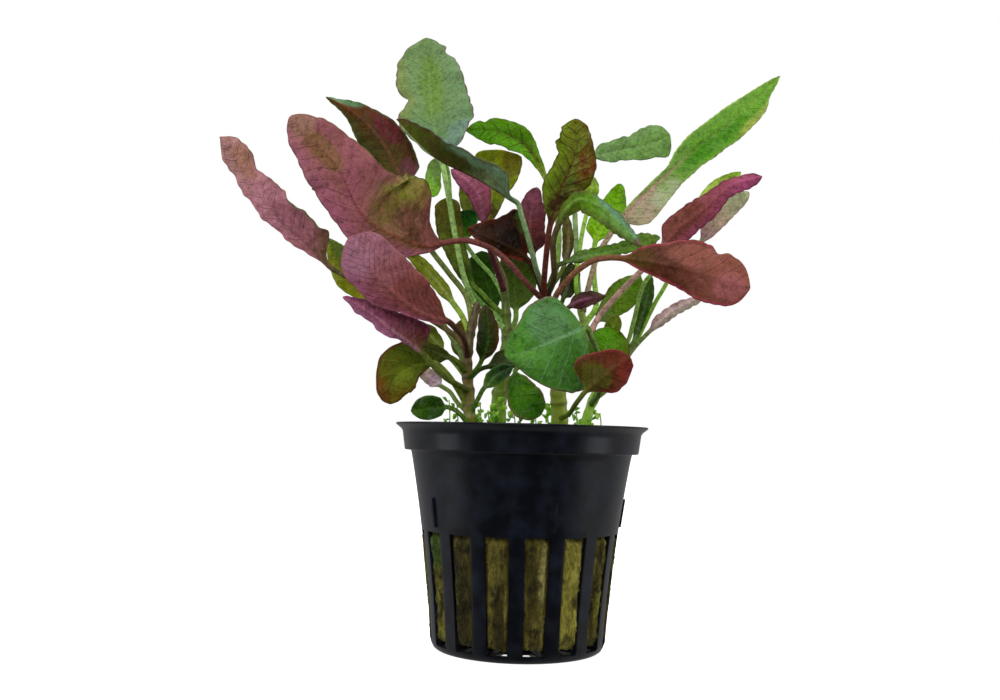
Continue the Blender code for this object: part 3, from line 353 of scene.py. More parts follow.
# Rock wool plug: pressed and fibrous, a different colour in each of the front slots
wool = {
    "foot": 2.7, "top": 44.8, "clear": 1.3, "around": 288, "rows": 150, "bulge": 1.0,
    "slotFull": 5.0, "slotEnd": 7.3,        # degrees from a slot's middle: still bulging, and pressed flat
    "fibres": 5200, "fibreRadius": 0.05, "fibreSpread": 3.4, "fibreHeights": (2.6, 24.2), "topRadius": 23.0,
    "fibreLean": 0.55, "fibreBend": 0.5, "fibreLift": 0.22, "fibreLengths": (0.9, 3.2),
    "straw": "#665f22", "brown": "#40370c", "pale": "#8a823c", "shade": "#1c1804",
    # (turn from the front in degrees, height, half-turn, half-height, colour)
    "patches": [(-59, 22, 9, 6, "#3c5a1a"), (-58, 8, 9, 10, "#85802e"), (-36, 13, 9.5, 17, "#2a2408"),
                (-12, 9, 4, 10, "#332b0a"), (-17, 19, 5, 6, "#6c6424"), (6, 15, 4, 10, "#423a10"),
                (12.5, 18, 2.6, 7, "#a0965a"), (31, 13, 10, 19, "#9c963e"), (51, 14, 3, 15, "#403a10"),
                (57, 14, 3.5, 17, "#7c7828")],
}


def roundAxis(radius, turn, height):
    # a point by its turn from straight ahead, in degrees, positive to the right
    return (radius * math.sin(math.radians(turn)), -radius * math.cos(math.radians(turn)), height)


def inSlot(turn):
    # 1 at the middle of a slot, 0 at a rib
    pitch = 360.0 / pot["ribs"]
    off = np.abs((turn - pot["ribTurn"]) % pitch - pitch / 2)
    return 1 - ease(wool["slotFull"], wool["slotEnd"], off)


def rockWoolFibre():
    # Rock wool, spun and pressed: matt, straw to brown, streaked where the fibres lie together. Real
    # fibres are too thin to show, so strands are drawn 0.4 mm thick, in bands of 1.6 mm and lumps of 3 mm.
    made, tree, shader = newMaterial("rockWoolFibre", {
        "Roughness": 0.93, "Specular IOR Level": 0.1, "Sheen Weight": 0.06, "Sheen Roughness": 0.6})
    spot = addNode(tree, "TexCoord", {})
    xyz = addNode(tree, "SeparateXYZ", {}, {0: (spot, "Object")})
    back = addNode(tree, "Math", {"operation": "MULTIPLY", 1: -1.0}, {0: (xyz, "Y")})
    turn = addNode(tree, "Math", {"operation": "ARCTAN2"}, {0: (xyz, "X"), 1: back})
    # fibres run mostly upright, so the noise is stretched 5 times along Z
    stretched = addNode(tree, "Mapping", {"Scale": (1.0, 1.0, 0.2)}, {"Vector": (spot, "Object")})
    strands = addNode(tree, "TexNoise", {"Scale": 2600.0, "Detail": 4.0, "Distortion": 0.6},
                      {"Vector": stretched})
    bands = addNode(tree, "TexNoise", {"Scale": 620.0, "Detail": 3.0, "Distortion": 0.8},
                    {"Vector": stretched})
    lumps = addNode(tree, "TexNoise", {"Scale": 340.0, "Detail": 5.0}, {"Vector": (spot, "Object")})
    ramp = addNode(tree, "ValToRGB", {}, {0: bands})
    stops = ramp.color_ramp.elements
    stops[0].position = 0.3
    stops[0].color = linear(wool["brown"])
    stops[1].position = 0.68
    stops[1].color = linear(wool["pale"])
    middle = stops.new(0.5)
    middle.color = linear(wool["straw"])
    colour = ramp
    for turnAt, height, halfTurn, halfHeight, tint in wool["patches"]:
        across = addNode(tree, "MapRange", {"From Min": math.radians(turnAt), "To Max": 1.0, "clamp": False,
                                            "From Max": math.radians(turnAt + halfTurn)}, {0: turn})
        upward = addNode(tree, "MapRange", {"From Min": height * mm, "From Max": (height + halfHeight) * mm,
                                            "clamp": False}, {0: (xyz, "Z")})
        away = addNode(tree, "CombineXYZ", {}, {0: across, 1: upward})
        far = addNode(tree, "VectorMath", {"operation": "LENGTH"}, {0: away})
        warped = addNode(tree, "Math", {"operation": "ADD"}, {0: (far, "Value"), 1: lumps})
        mask = addNode(tree, "MapRange", {"From Min": 1.65, "From Max": 1.05, "To Max": 0.8,
                                          "interpolation_type": "SMOOTHSTEP"}, {0: warped})
        colour = addNode(tree, "Mix", {"data_type": "RGBA", 7: linear(tint)}, {0: mask, 6: colour})
    darken = addNode(tree, "MapRange", {"From Min": 0.5, "From Max": 0.36, "To Max": 0.8}, {0: lumps})
    deep = addNode(tree, "Mix", {"data_type": "RGBA", 7: linear(wool["shade"])}, {0: darken, 6: colour})
    streak = addNode(tree, "MapRange", {"From Min": 0.32, "From Max": 0.72, "To Min": 0.62, "To Max": 1.3},
                     {0: strands})
    lit = addNode(tree, "HueSaturation", {}, {"Color": deep, "Value": streak})
    rough = addNode(tree, "Bump", {"Strength": 0.8, "Distance": 0.00025}, {"Height": strands})
    tree.links.new(lit.outputs[0], shader.inputs["Base Color"])
    tree.links.new(rough.outputs[0], shader.inputs["Normal"])
    return made


def woolRadius(turn, height):
    # the pressed side: it bulges through the slots and is lumpy and torn
    radians = math.radians(turn)
    spot = Vector((math.sin(radians) * 4, math.cos(radians) * 4, height * 0.11))
    lump = noise.fractal(spot, 1.0, 2.0, 4)
    fine = noise.fractal(spot * 6, 1.0, 2.0, 3)
    slotHeight = float(ease(1.0, 4.0, height) * (1 - ease(23.6, 25.0, height)))
    push = wool["bulge"] * float(inSlot(turn)) * slotHeight
    radius = bodyRadius(height) - wool["clear"] + push + (0.2 + 0.45 * push) * lump + 0.12 * fine
    return min(radius, bodyRadius(height) - (0.95 if push < 0.3 else -0.15))


def raggedFoot(turn):
    # the plug's lower edge hangs unevenly above the base
    return wool["foot"] + 0.9 * noise.noise(Vector((turn * 0.09, 3.1, 0.0))) + 0.5 * noise.noise(
        Vector((turn * 0.4, 7.7, 0.0)))


def pressWool():
    points = []
    around = wool["around"]
    rows = wool["rows"]
    turns = [360.0 * j / around for j in range(around)]
    rings = 0
    # underside, side and top as rings from the axis under the plug to the axis above it
    for share in (0.15, 0.45, 0.75, 0.93):
        for turn in turns:
            radius = (woolRadius(turn, 3.4) - 0.5) * share
            z = raggedFoot(turn) + 0.5 * noise.noise(Vector((radius * 0.5, turn * 0.1, 1.0)))
            points.append(roundAxis(radius, turn, max(z, 1.3)))
        rings += 1
    for i in range(rows + 1):
        for turn in turns:
            foot = max(raggedFoot(turn), 1.4)
            z = foot + (wool["top"] - 0.6 - foot) * i / rows
            radius = woolRadius(turn, z) - 0.5 * float(1 - ease(0.0, 1.4, z - foot))
            points.append(roundAxis(radius, turn, z))
        rings += 1
    for share in (0.97, 0.92, 0.85, 0.76, 0.66, 0.55, 0.43, 0.3, 0.16, 0.04):
        for turn in turns:
            x, y, _ = roundAxis(wool["topRadius"] * share, turn, 0.0)
            z = wool["top"] - 0.1 + 0.7 * noise.fractal(Vector((x * 0.2, y * 0.2, 5.0)), 1.0, 2.0, 4)
            points.append((x, y, z))
        rings += 1
    faces = ringFaces(rings, around)
    return np.array(points), faces


def spinFibres():
    # short bent strands with three sides, most of them upright, lying on the wool in the slots
    pick = random.Random(11)
    points = []
    faces = []
    pitch = 360.0 / pot["ribs"]
    for i in range(wool["fibres"]):
        slot = pick.randrange(pot["ribs"])
        turn = pot["ribTurn"] + pitch * (slot + 0.5) + pick.gauss(0, wool["fibreSpread"])
        z = pick.uniform(*wool["fibreHeights"])
        lean = pick.gauss(0, wool["fibreLean"])
        length = pick.uniform(*wool["fibreLengths"])
        bend = pick.gauss(0, wool["fibreBend"])
        lift = abs(pick.gauss(0, wool["fibreLift"]))
        route = []
        for k in range(5):
            t = k / 4
            height = z + length * t * math.cos(lean + bend * t)
            around = turn + math.degrees(length * t * math.sin(lean + bend * t) / bodyRadius(z))
            height = min(max(height, 1.6), 24.8)
            radius = woolRadius(around, height) + 0.03 + lift * math.sin(math.pi * min(t * 1.2, 1.0))
            radius = min(radius, bodyRadius(height) + 0.1)
            route.append(roundAxis(radius, around, height))
        size = wool["fibreRadius"] * pick.uniform(0.6, 1.3)
        strand, _ = tube(route, [size, size, size, size * 0.8, size * 0.4], 3)
        first = len(points)
        points.extend(strand.tolist())
        faces.extend(tuple(first + corner for corner in face) for face in ringFaces(5, 3))
    return points, faces


def makeWool():
    material = rockWoolFibre()
    points, faces = pressWool()
    strands, strandFaces = spinFibres()
    first = len(points)
    faces += [tuple(first + corner for corner in face) for face in strandFaces]
    addPiece("rock_wool_plug", np.vstack([points, strands]), faces, material, "wool_plug")


makeWool()
print("wool pressed")

# Stems: routes as in the part's source; nodes are how far down the grid each leaf scar sits
stems = {
    "stem_left": {
        "route": [(470, 430, -5), (469, 400, -5), (467, 370, -5), (468, 350, -5), (472, 326, -4),
                  (478, 302, -3)],
        "foot": 1.35, "tip": 0.85, "nodes": (322, 334, 352, 364, 378, 390, 406, 418), "swell": 0.14,
        "skin": "#6a5a1c", "low": "#7c8228", "high": "#463414", "scar": "#3c240c", "streak": "#86783a"},
    "stem_middle": {
        "route": [(561, 430, -3), (558, 395, -4), (553, 360, -5), (549, 330, -4), (547, 300, -3),
                  (546, 284, -3)],
        "foot": 1.9, "tip": 1.0, "nodes": (292, 300, 306, 318, 330, 352, 378, 404), "swell": 0.12,
        "skin": "#7c8c22", "low": "#a8c040", "high": "#62441c", "scar": "#5c4c18", "streak": "#a6b450"},
    "stem_right": {
        "route": [(582, 430, 2), (590, 408, 2), (598, 388, 1), (596, 365, 1), (589, 340, 1), (582, 315, 2),
                  (580, 300, 2)],
        "foot": 1.15, "tip": 0.8, "nodes": (305, 322, 342, 362, 386, 400), "swell": 0.14,
        "skin": "#98cc42", "low": "#b0e04a", "high": "#90a43e", "scar": "#6a8024", "streak": "#bce070"},
    "stem_back": {
        "route": [(497, 430, 8), (499, 400, 8), (503, 370, 7), (507, 340, 7), (506, 310, 7), (504, 284, 7)],
        "foot": 2.0, "tip": 0.8, "nodes": (294, 300, 316, 330, 338, 360, 392), "swell": 0.12,
        "skin": "#66841a", "low": "#a0c444", "high": "#566a16", "scar": "#44480e", "streak": "#86a23e"},
}
stemBuild = {"sides": 20, "steps": 110, "below": 1.6, "flare": 1.25, "tipTaper": (0.93, 0.8, 0.58, 0.28)}


def nodeHeight(stem, down):
    # height in mm of a leaf scar that sits this far down the grid
    across, _, depth = stem["route"][0]
    return place(across, down, depth)[2]


def stemRoute(stem, steps):
    points = [place(*spot) for spot in stem["route"]]
    points[0][2] = wool["top"] + 0.3
    return smoothRoute(points, steps)


def freshStemSkin(name, stem):
    # Live stem skin: waxy and slightly wet, with darker leaf scars; its streaks are 0.5 mm wide and its
    # blotches 2.4 mm
    made, tree, shader = newMaterial("freshStemSkin_" + name, {
        "Specular IOR Level": 0.45, "Coat Weight": 0.12, "Coat Roughness": 0.2, "Subsurface Weight": 0.12,
        "Subsurface Radius": (0.6, 1.0, 0.25), "Subsurface Scale": 0.0008})
    where = addNode(tree, "Attribute", {"attribute_name": "stemPlace"})
    xyz = addNode(tree, "SeparateXYZ", {}, {0: (where, "Vector")})
    spot = addNode(tree, "TexCoord", {})
    stretched = addNode(tree, "Mapping", {"Scale": (1.0, 1.0, 0.14)}, {"Vector": (spot, "Object")})
    streaks = addNode(tree, "TexNoise", {"Scale": 1900.0, "Detail": 3.0}, {"Vector": stretched})
    blotch = addNode(tree, "TexNoise", {"Scale": 420.0, "Detail": 3.0}, {"Vector": (spot, "Object")})
    ramp = addNode(tree, "ValToRGB", {}, {0: (xyz, "X")})
    stops = ramp.color_ramp.elements
    stops[0].position = 0.04
    stops[0].color = linear(stem["low"])
    stops[1].position = 0.9
    stops[1].color = linear(stem["high"])
    middle = stops.new(0.4)
    middle.color = linear(stem["skin"])
    lines = addNode(tree, "MapRange", {"From Min": 0.45, "From Max": 0.7, "To Max": 0.6}, {0: streaks})
    streaked = addNode(tree, "Mix", {"data_type": "RGBA", 7: linear(stem["streak"])}, {0: lines, 6: ramp})
    ring = addNode(tree, "Math", {"operation": "MULTIPLY"}, {0: (xyz, "Y"), 1: blotch})
    scar = addNode(tree, "MapRange", {"From Min": 0.3, "From Max": 0.62, "To Max": 0.9}, {0: ring})
    scarred = addNode(tree, "Mix", {"data_type": "RGBA", 7: linear(stem["scar"])}, {0: scar, 6: streaked})
    gloss = addNode(tree, "MapRange", {"To Min": 0.36, "To Max": 0.56}, {0: blotch})
    raised = addNode(tree, "Bump", {"Strength": 0.6, "Distance": 0.00012}, {"Height": streaks})
    tree.links.new(scarred.outputs[2], shader.inputs["Base Color"])
    tree.links.new(gloss.outputs[0], shader.inputs["Roughness"])
    tree.links.new(raised.outputs[0], shader.inputs["Normal"])
    return made


def growStem(name, stem):
    sides = stemBuild["sides"]
    upper = stemRoute(stem, stemBuild["steps"])
    foot = upper[0] - (upper[1] - upper[0]) / np.linalg.norm(upper[1] - upper[0]) * stemBuild["below"]
    route = np.vstack([foot, upper])
    share = np.concatenate([[0.0], np.linspace(0, 1, len(upper))])
    base = stem["foot"] + (stem["tip"] - stem["foot"]) * share
    scars = [nodeHeight(stem, down) for down in stem["nodes"]]
    near = np.max([np.exp(-((route[:, 2] - z) / 0.75) ** 2) for z in scars], axis=0)
    wobble = 0.05 * np.sin(route[:, 2] * 1.3) + 0.03 * np.sin(route[:, 2] * 3.1 + 1)
    radii = base * (1 + stem["swell"] * near + wobble)
    radii[0] *= stemBuild["flare"]
    radii[-4:] *= np.array(stemBuild["tipTaper"])
    points, turns = tube(route, radii, sides)
    # skin folds: shallow flutes that turn slowly round the stem
    rings = len(route)
    spokes = points.reshape(rings, sides, 3) - route[:, None, :]
    flute = 1 + 0.035 * np.cos(5 * turns[None, :] + route[:, 2:3] * 0.25) * (1 - near[:, None])
    points = (route[:, None, :] + spokes * flute[:, :, None]).reshape(-1, 3)
    piece = addPiece(name + "_grown", points, ringFaces(rings, sides), freshStemSkin(name, stem),
                     name)
    rows = np.repeat(np.stack([share, near, base], axis=1), sides, axis=0)
    addPlaces(piece.data, "stemPlace", rows)


for name, stem in stems.items():
    growStem(name, stem)
print("stems grown")


# Leaves. Left and right are as walked from the blade's base to its tip, along the midrib from 0 to 1;
# places across a leaf run from -1 at the left margin to 1 at the right one. In each leaf:
# on: its stem, and how far down the grid it grows from it
# stalk, midrib: (across, down, depth); spans: (along the midrib, left half-width, right half-width)
# turn: degrees about the midrib at base and tip; fold and curl: degrees that the halves rise
# tints: foot, body and tip of the side that shows, its margin, the other side and the stalk
# left, right: a tint for that half and its share; patches: (along, across, reach, spread, tint)
# bites: (along, side, depth, half-length), notches in the margin
# rolls: (side, from, to, degrees), stretches of margin rolled up or down
# on some leaves the half tints and patches are painted light and shade: glare, backlight glow, sheen and
# shaded parts
leafTints = ("foot", "body", "tip", "rim", "other", "stalkTop")
leafDefaults = {
    "turn": (0, 0), "fold": 6, "curl": 0, "shows": "upper", "bites": [], "rolls": [],
    "opening": 0.16,            # share of the blade over which the stalk's round section flattens
    "teeth": (0.14, 1.9),       # depth and spacing
    "ruffle": (0.32, 7.5),      # depth and spacing of the margin's waves
    "quilt": 0.13, "veinGap": 3.1, "veinSlope": 0.85,
    "left": None, "right": None, "patches": [], "rimWidth": 0.3, "rimShare": 0.45,
    "vein": None, "veinShare": 0.2, "ribTint": None, "ribShare": 0.38,
    "ribEnd": 0.8,              # where along the midrib its tint has faded
    "marble": None, "marbleShare": 0.4, "stalkUnder": None, "wet": 0.16,
}
leafBuild = {
    "ringGap": 0.42, "stalkGap": 0.8, "thickness": 0.42, "midribDepth": 0.16, "keel": 0.34,
    "stalkRadius": 0.62, "thinStalkRadius": 0.5, "narrowFoot": 0.75, "clasp": 0.35, "channel": 0.3,
    "leastWidth": 0.12, "sway": 0.35, "mottleShare": 0.35,
    "across": np.array([0, 0.06, 0.14, 0.24, 0.35, 0.46, 0.57, 0.67, 0.76, 0.84, 0.9, 0.955, 1.0]),
}


def lighter(hexColour, amount):
    # towards white by a share, or towards black by a negative one
    goal = 255 if amount > 0 else 0
    values = [int(hexColour[i:i + 2], 16) for i in (1, 3, 5)]
    return "#" + "".join("%02x" % round(v + (goal - v) * abs(amount)) for v in values)


def leafSeed(leaf):
    return sum(map(ord, leaf["node"]))


def leafCuticle(leaf):
    # Living leaf: a waxy cuticle, satin and wet in places, over a lamina that light passes into. Veins
    # sink into the upper side and stand out below. Scales are per mm of leaf: clouds of 4 mm, marbling of
    # 2.4 mm and speckle of 0.8 mm. The net between the veins is drawn 1.2 mm wide, coarser than life.
    made, tree, shader = newMaterial("leafCuticle_" + leaf["node"][5:], {
        "IOR": 1.42, "Specular IOR Level": 0.1, "Coat IOR": 1.36, "Coat Roughness": 0.16,
        "Subsurface Weight": 0.08, "Subsurface Radius": (0.7, 1.0, 0.25), "Subsurface Scale": 0.0006})
    seed = leafSeed(leaf) * 0.37
    where = addNode(tree, "Attribute", {"attribute_name": "leafPlace"})
    spot = addNode(tree, "SeparateXYZ", {}, {0: (where, "Vector")})
    onLeaf = addNode(tree, "Attribute", {"attribute_name": "leafMm"})
    flat = addNode(tree, "SeparateXYZ", {}, {0: (onLeaf, "Vector")})
    coarse = addNode(tree, "TexNoise", {"noise_dimensions": "4D", "W": seed, "Scale": 0.24, "Detail": 4.0},
                     {"Vector": (onLeaf, "Vector")})
    fine = addNode(tree, "TexNoise", {"noise_dimensions": "4D", "W": seed + 3, "Scale": 1.3, "Detail": 3.0},
                   {"Vector": (onLeaf, "Vector")})
    drift = addNode(tree, "TexNoise", {"noise_dimensions": "4D", "W": seed + 9, "Scale": 0.42, "Detail": 6.0,
                                       "Roughness": 0.62, "Distortion": 0.4}, {"Vector": (onLeaf, "Vector")})
    # along the blade: foot, body and tip colours
    along = addNode(tree, "Math", {"operation": "MULTIPLY_ADD", 1: 0.3}, {0: coarse, 2: (spot, "X")})
    ramp = addNode(tree, "ValToRGB", {}, {0: along})
    stops = ramp.color_ramp.elements
    stops.new(0.6)
    for stop, position, tint in zip(stops, (0.22, 0.6, 0.98), ("foot", "body", "tip")):
        stop.position = position
        stop.color = linear(leaf[tint])
    colour = (ramp, "Color")
    # half tints: the leaf's own colour on most leaves; on some they paint glare, backlight glow, sheen and
    # shade
    for side, sign in (("left", -1.0), ("right", 1.0)):
        if leaf[side]:
            tint, most = leaf[side]
            mask = addNode(tree, "MapRange", {"From Min": 0.12 * sign, "From Max": 0.85 * sign,
                                              "To Max": most, "interpolation_type": "SMOOTHSTEP"},
                           {0: (spot, "Y")})
            tinted = addNode(tree, "Mix", {"data_type": "RGBA", 7: linear(tint)}, {0: mask, 6: colour})
            colour = (tinted, 2)
    # patches: the leaf's own colour on most leaves; on some they paint glare, sheen and shade
    for at, across, reach, spread, tint in leaf["patches"]:
        offset = addNode(tree, "VectorMath", {"operation": "SUBTRACT", 1: (at, across, 0.0)},
                         {0: (where, "Vector")})
        scaled = addNode(tree, "VectorMath", {"operation": "MULTIPLY", 1: (1 / reach, 1 / spread, 0.0)},
                         {0: offset})
        far = addNode(tree, "VectorMath", {"operation": "LENGTH"}, {0: scaled})
        ragged = addNode(tree, "Math", {"operation": "MULTIPLY_ADD", 1: 0.9}, {0: drift, 2: (far, "Value")})
        mask = addNode(tree, "MapRange", {"From Min": 1.65, "From Max": 1.15, "To Max": 0.88,
                                          "interpolation_type": "SMOOTHSTEP"}, {0: ragged})
        patched = addNode(tree, "Mix", {"data_type": "RGBA", 7: linear(tint)}, {0: mask, 6: colour})
        colour = (patched, 2)
    marbling = addNode(tree, "MapRange", {"From Min": 0.46, "From Max": 0.62, "To Max": leaf["marbleShare"]},
                       {0: drift})
    mottle = addNode(tree, "MapRange", {"From Min": 0.46, "From Max": 0.66,
                                        "To Max": leafBuild["mottleShare"]}, {0: fine})
    # lateral veins leave the midrib at a slant, a vein gap apart, and fade towards the margin
    off = addNode(tree, "Math", {"operation": "ABSOLUTE"}, {0: (flat, "X")})
    slant = addNode(tree, "Math", {"operation": "MULTIPLY_ADD", 1: -leaf["veinSlope"]},
                    {0: off, 2: (flat, "Y")})
    warp = addNode(tree, "Math", {"operation": "MULTIPLY_ADD", 1: 2.6}, {0: coarse, 2: slant})
    phase = addNode(tree, "Math", {"operation": "DIVIDE", 1: leaf["veinGap"]}, {0: warp})
    comb = addNode(tree, "Math", {"operation": "PINGPONG", 1: 0.5}, {0: phase})
    lines = addNode(tree, "MapRange", {"From Min": 0.1, "From Max": 0.015,
                                       "interpolation_type": "SMOOTHSTEP"}, {0: comb})
    fade = addNode(tree, "MapRange", {"From Min": 0.15, "From Max": 1.3}, {0: (spot, "Z")})
    veins = addNode(tree, "Math", {"operation": "MULTIPLY"}, {0: lines, 1: fade})
    net = addNode(tree, "TexVoronoi", {"feature": "DISTANCE_TO_EDGE", "Scale": 0.85, "Randomness": 0.9},
                  {"Vector": (onLeaf, "Vector")})
    mesh = addNode(tree, "MapRange", {"From Min": 0.12, "From Max": 0.02, "To Max": 0.35}, {0: net})
    strong = addNode(tree, "Math", {"operation": "MAXIMUM"}, {0: veins, 1: mesh})
    shown = addNode(tree, "Math", {"operation": "MULTIPLY", 1: leaf["veinShare"]}, {0: strong})
    # the midrib narrows to the tip and its tint fades on the way
    thin = addNode(tree, "MapRange", {"To Min": 0.5, "To Max": 0.16}, {0: (spot, "X")})
    ribWidth = addNode(tree, "Math", {"operation": "DIVIDE"}, {0: off, 1: thin})
    ribNear = addNode(tree, "MapRange", {"From Min": 1.25, "From Max": 0.5, "To Max": leaf["ribShare"]},
                      {0: ribWidth})
    ribLeft = addNode(tree, "MapRange", {"From Min": leaf["ribEnd"] - 0.25, "From Max": leaf["ribEnd"] + 0.05,
                                         "To Min": 1.0, "To Max": 0.15}, {0: (spot, "X")})
    rib = addNode(tree, "Math", {"operation": "MULTIPLY"}, {0: ribNear, 1: ribLeft})
    edge = addNode(tree, "MapRange", {"From Min": leaf["rimWidth"] * 1.6, "From Max": leaf["rimWidth"] * 0.4,
                                      "To Max": leaf["rimShare"]}, {0: (spot, "Z")})
    body = leaf["body"]
    layers = [(marbling, leaf["marble"] or lighter(body, -0.3)), (mottle, lighter(body, -0.35)),
              (shown, leaf["vein"] or lighter(body, 0.3)), (rib, leaf["ribTint"] or lighter(body, 0.35)),
              (edge, leaf["rim"])]
    for mask, tint in layers:
        layer = addNode(tree, "Mix", {"data_type": "RGBA", 7: linear(tint)}, {0: mask, 6: colour})
        colour = (layer, 2)
    # the side turned away from the photograph
    hidden = addNode(tree, "Mix", {"data_type": "RGBA", 6: linear(leaf["other"]),
                                   7: linear(lighter(leaf["other"], -0.3))}, {0: fine})
    hiddenVeins = addNode(tree, "Mix", {"data_type": "RGBA", 7: linear(lighter(leaf["other"], 0.3))},
                          {0: shown, 6: (hidden, 2)})
    sign = 1.0 if leaf["shows"] == "upper" else -1.0
    facing = addNode(tree, "MapRange", {"From Min": -0.3 * sign, "From Max": 0.3 * sign}, {0: (flat, "Z")})
    sided = addNode(tree, "Mix", {"data_type": "RGBA"}, {0: facing, 6: (hiddenVeins, 2), 7: colour})
    # the stalk has its own two sides
    stalkUnder = linear(leaf["stalkUnder"] or lighter(leaf["stalkTop"], -0.2))
    stalkSide = addNode(tree, "MapRange", {"From Min": -0.4, "From Max": 0.5}, {0: (flat, "Z")})
    stalk = addNode(tree, "Mix", {"data_type": "RGBA", 6: stalkUnder, 7: linear(leaf["stalkTop"])},
                    {0: stalkSide})
    onBlade = addNode(tree, "MapRange", {"From Min": -0.03, "From Max": 0.1}, {0: (spot, "X")})
    whole = addNode(tree, "Mix", {"data_type": "RGBA"}, {0: onBlade, 6: (stalk, 2), 7: (sided, 2)})
    tone = addNode(tree, "MapRange", {"From Min": 0.3, "From Max": 0.7, "To Min": 0.6, "To Max": 1.42},
                   {0: fine})
    lit = addNode(tree, "HueSaturation", {}, {"Color": (whole, 2), "Value": tone})
    gloss = addNode(tree, "MapRange", {"From Min": 0.3, "From Max": 0.7, "To Min": 0.42, "To Max": 0.62},
                    {0: fine})
    wet = addNode(tree, "MapRange", {"From Min": 0.4, "From Max": 0.6, "To Max": leaf["wet"] * 2}, {0: drift})
    sunk = addNode(tree, "Math", {"operation": "MULTIPLY"}, {0: strong, 1: (flat, "Z")})
    height = addNode(tree, "Math", {"operation": "MULTIPLY_ADD", 1: -1.2}, {0: sunk, 2: fine})
    relief = addNode(tree, "Bump", {"Strength": 0.75, "Distance": 0.0002}, {"Height": height})
    for source, socket in ((lit, "Base Color"), (gloss, "Roughness"), (wet, "Coat Weight"),
                           (relief, "Normal"), (relief, "Coat Normal")):
        tree.links.new(source.outputs[0], shader.inputs[socket])
    return made


def joinPoint(leaf, towards):
    # where a stalk starts, inside the skin of the stem that it grows from
    name, down = leaf["on"]
    stem = stems[name]
    steps = 24
    route = stemRoute(stem, steps)
    near = int(np.argmin(np.abs(route[:, 2] - nodeHeight(stem, down))))
    away = towards - route[near]
    away[2] = 0.0
    radius = stem["foot"] + (stem["tip"] - stem["foot"]) * near / steps
    return route[near] + unit(away) * radius * 0.4


def leafRoute(leaf):
    # points from the stem to the leaf's tip, and how many of the steps are stalk
    midrib = np.array([place(*spot) for spot in leaf["midrib"]])
    stalk = np.array([place(*spot) for spot in leaf["stalk"]])
    start = joinPoint(leaf, stalk[0])
    bladeSteps = max(26, round(routeLength(midrib) / leafBuild["ringGap"]))
    blade = smoothRoute(midrib, bladeSteps)
    lead = smoothRoute(np.vstack([start, stalk, midrib[:2]]), 200)
    cut = int(np.argmin(np.linalg.norm(lead - midrib[0], axis=1)))
    lead = np.vstack([lead[:cut], midrib[:1]])
    stalkSteps = max(5, round(routeLength(lead) / leafBuild["stalkGap"]))
    return np.vstack([smoothRoute(lead, stalkSteps)[:-1], blade]), stalkSteps, bladeSteps


def leafFrames(leaf, route, stalkSteps, bladeSteps):
    # for each ring the way along the leaf, across it to the right, and out of its upper side
    along = unit(np.gradient(route, axis=0))
    share = np.clip((np.arange(len(route)) - stalkSteps) / bladeSteps, 0, 1)
    flat = unit(np.cross((0.0, 1.0, 0.0), along))
    face = unit(np.cross(flat, along))
    turn = np.radians(leaf["turn"][0] + (leaf["turn"][1] - leaf["turn"][0]) * share)[:, None]
    right = flat * np.cos(turn) + face * np.sin(turn)
    for i in range(stalkSteps - 1, -1, -1):
        right[i] = unit(right[i + 1] - along[i] * right[i + 1].dot(along[i]))
    shown = unit(np.cross(right, along))
    upper = -shown if leaf["shows"] == "under" else shown
    return share, right, upper


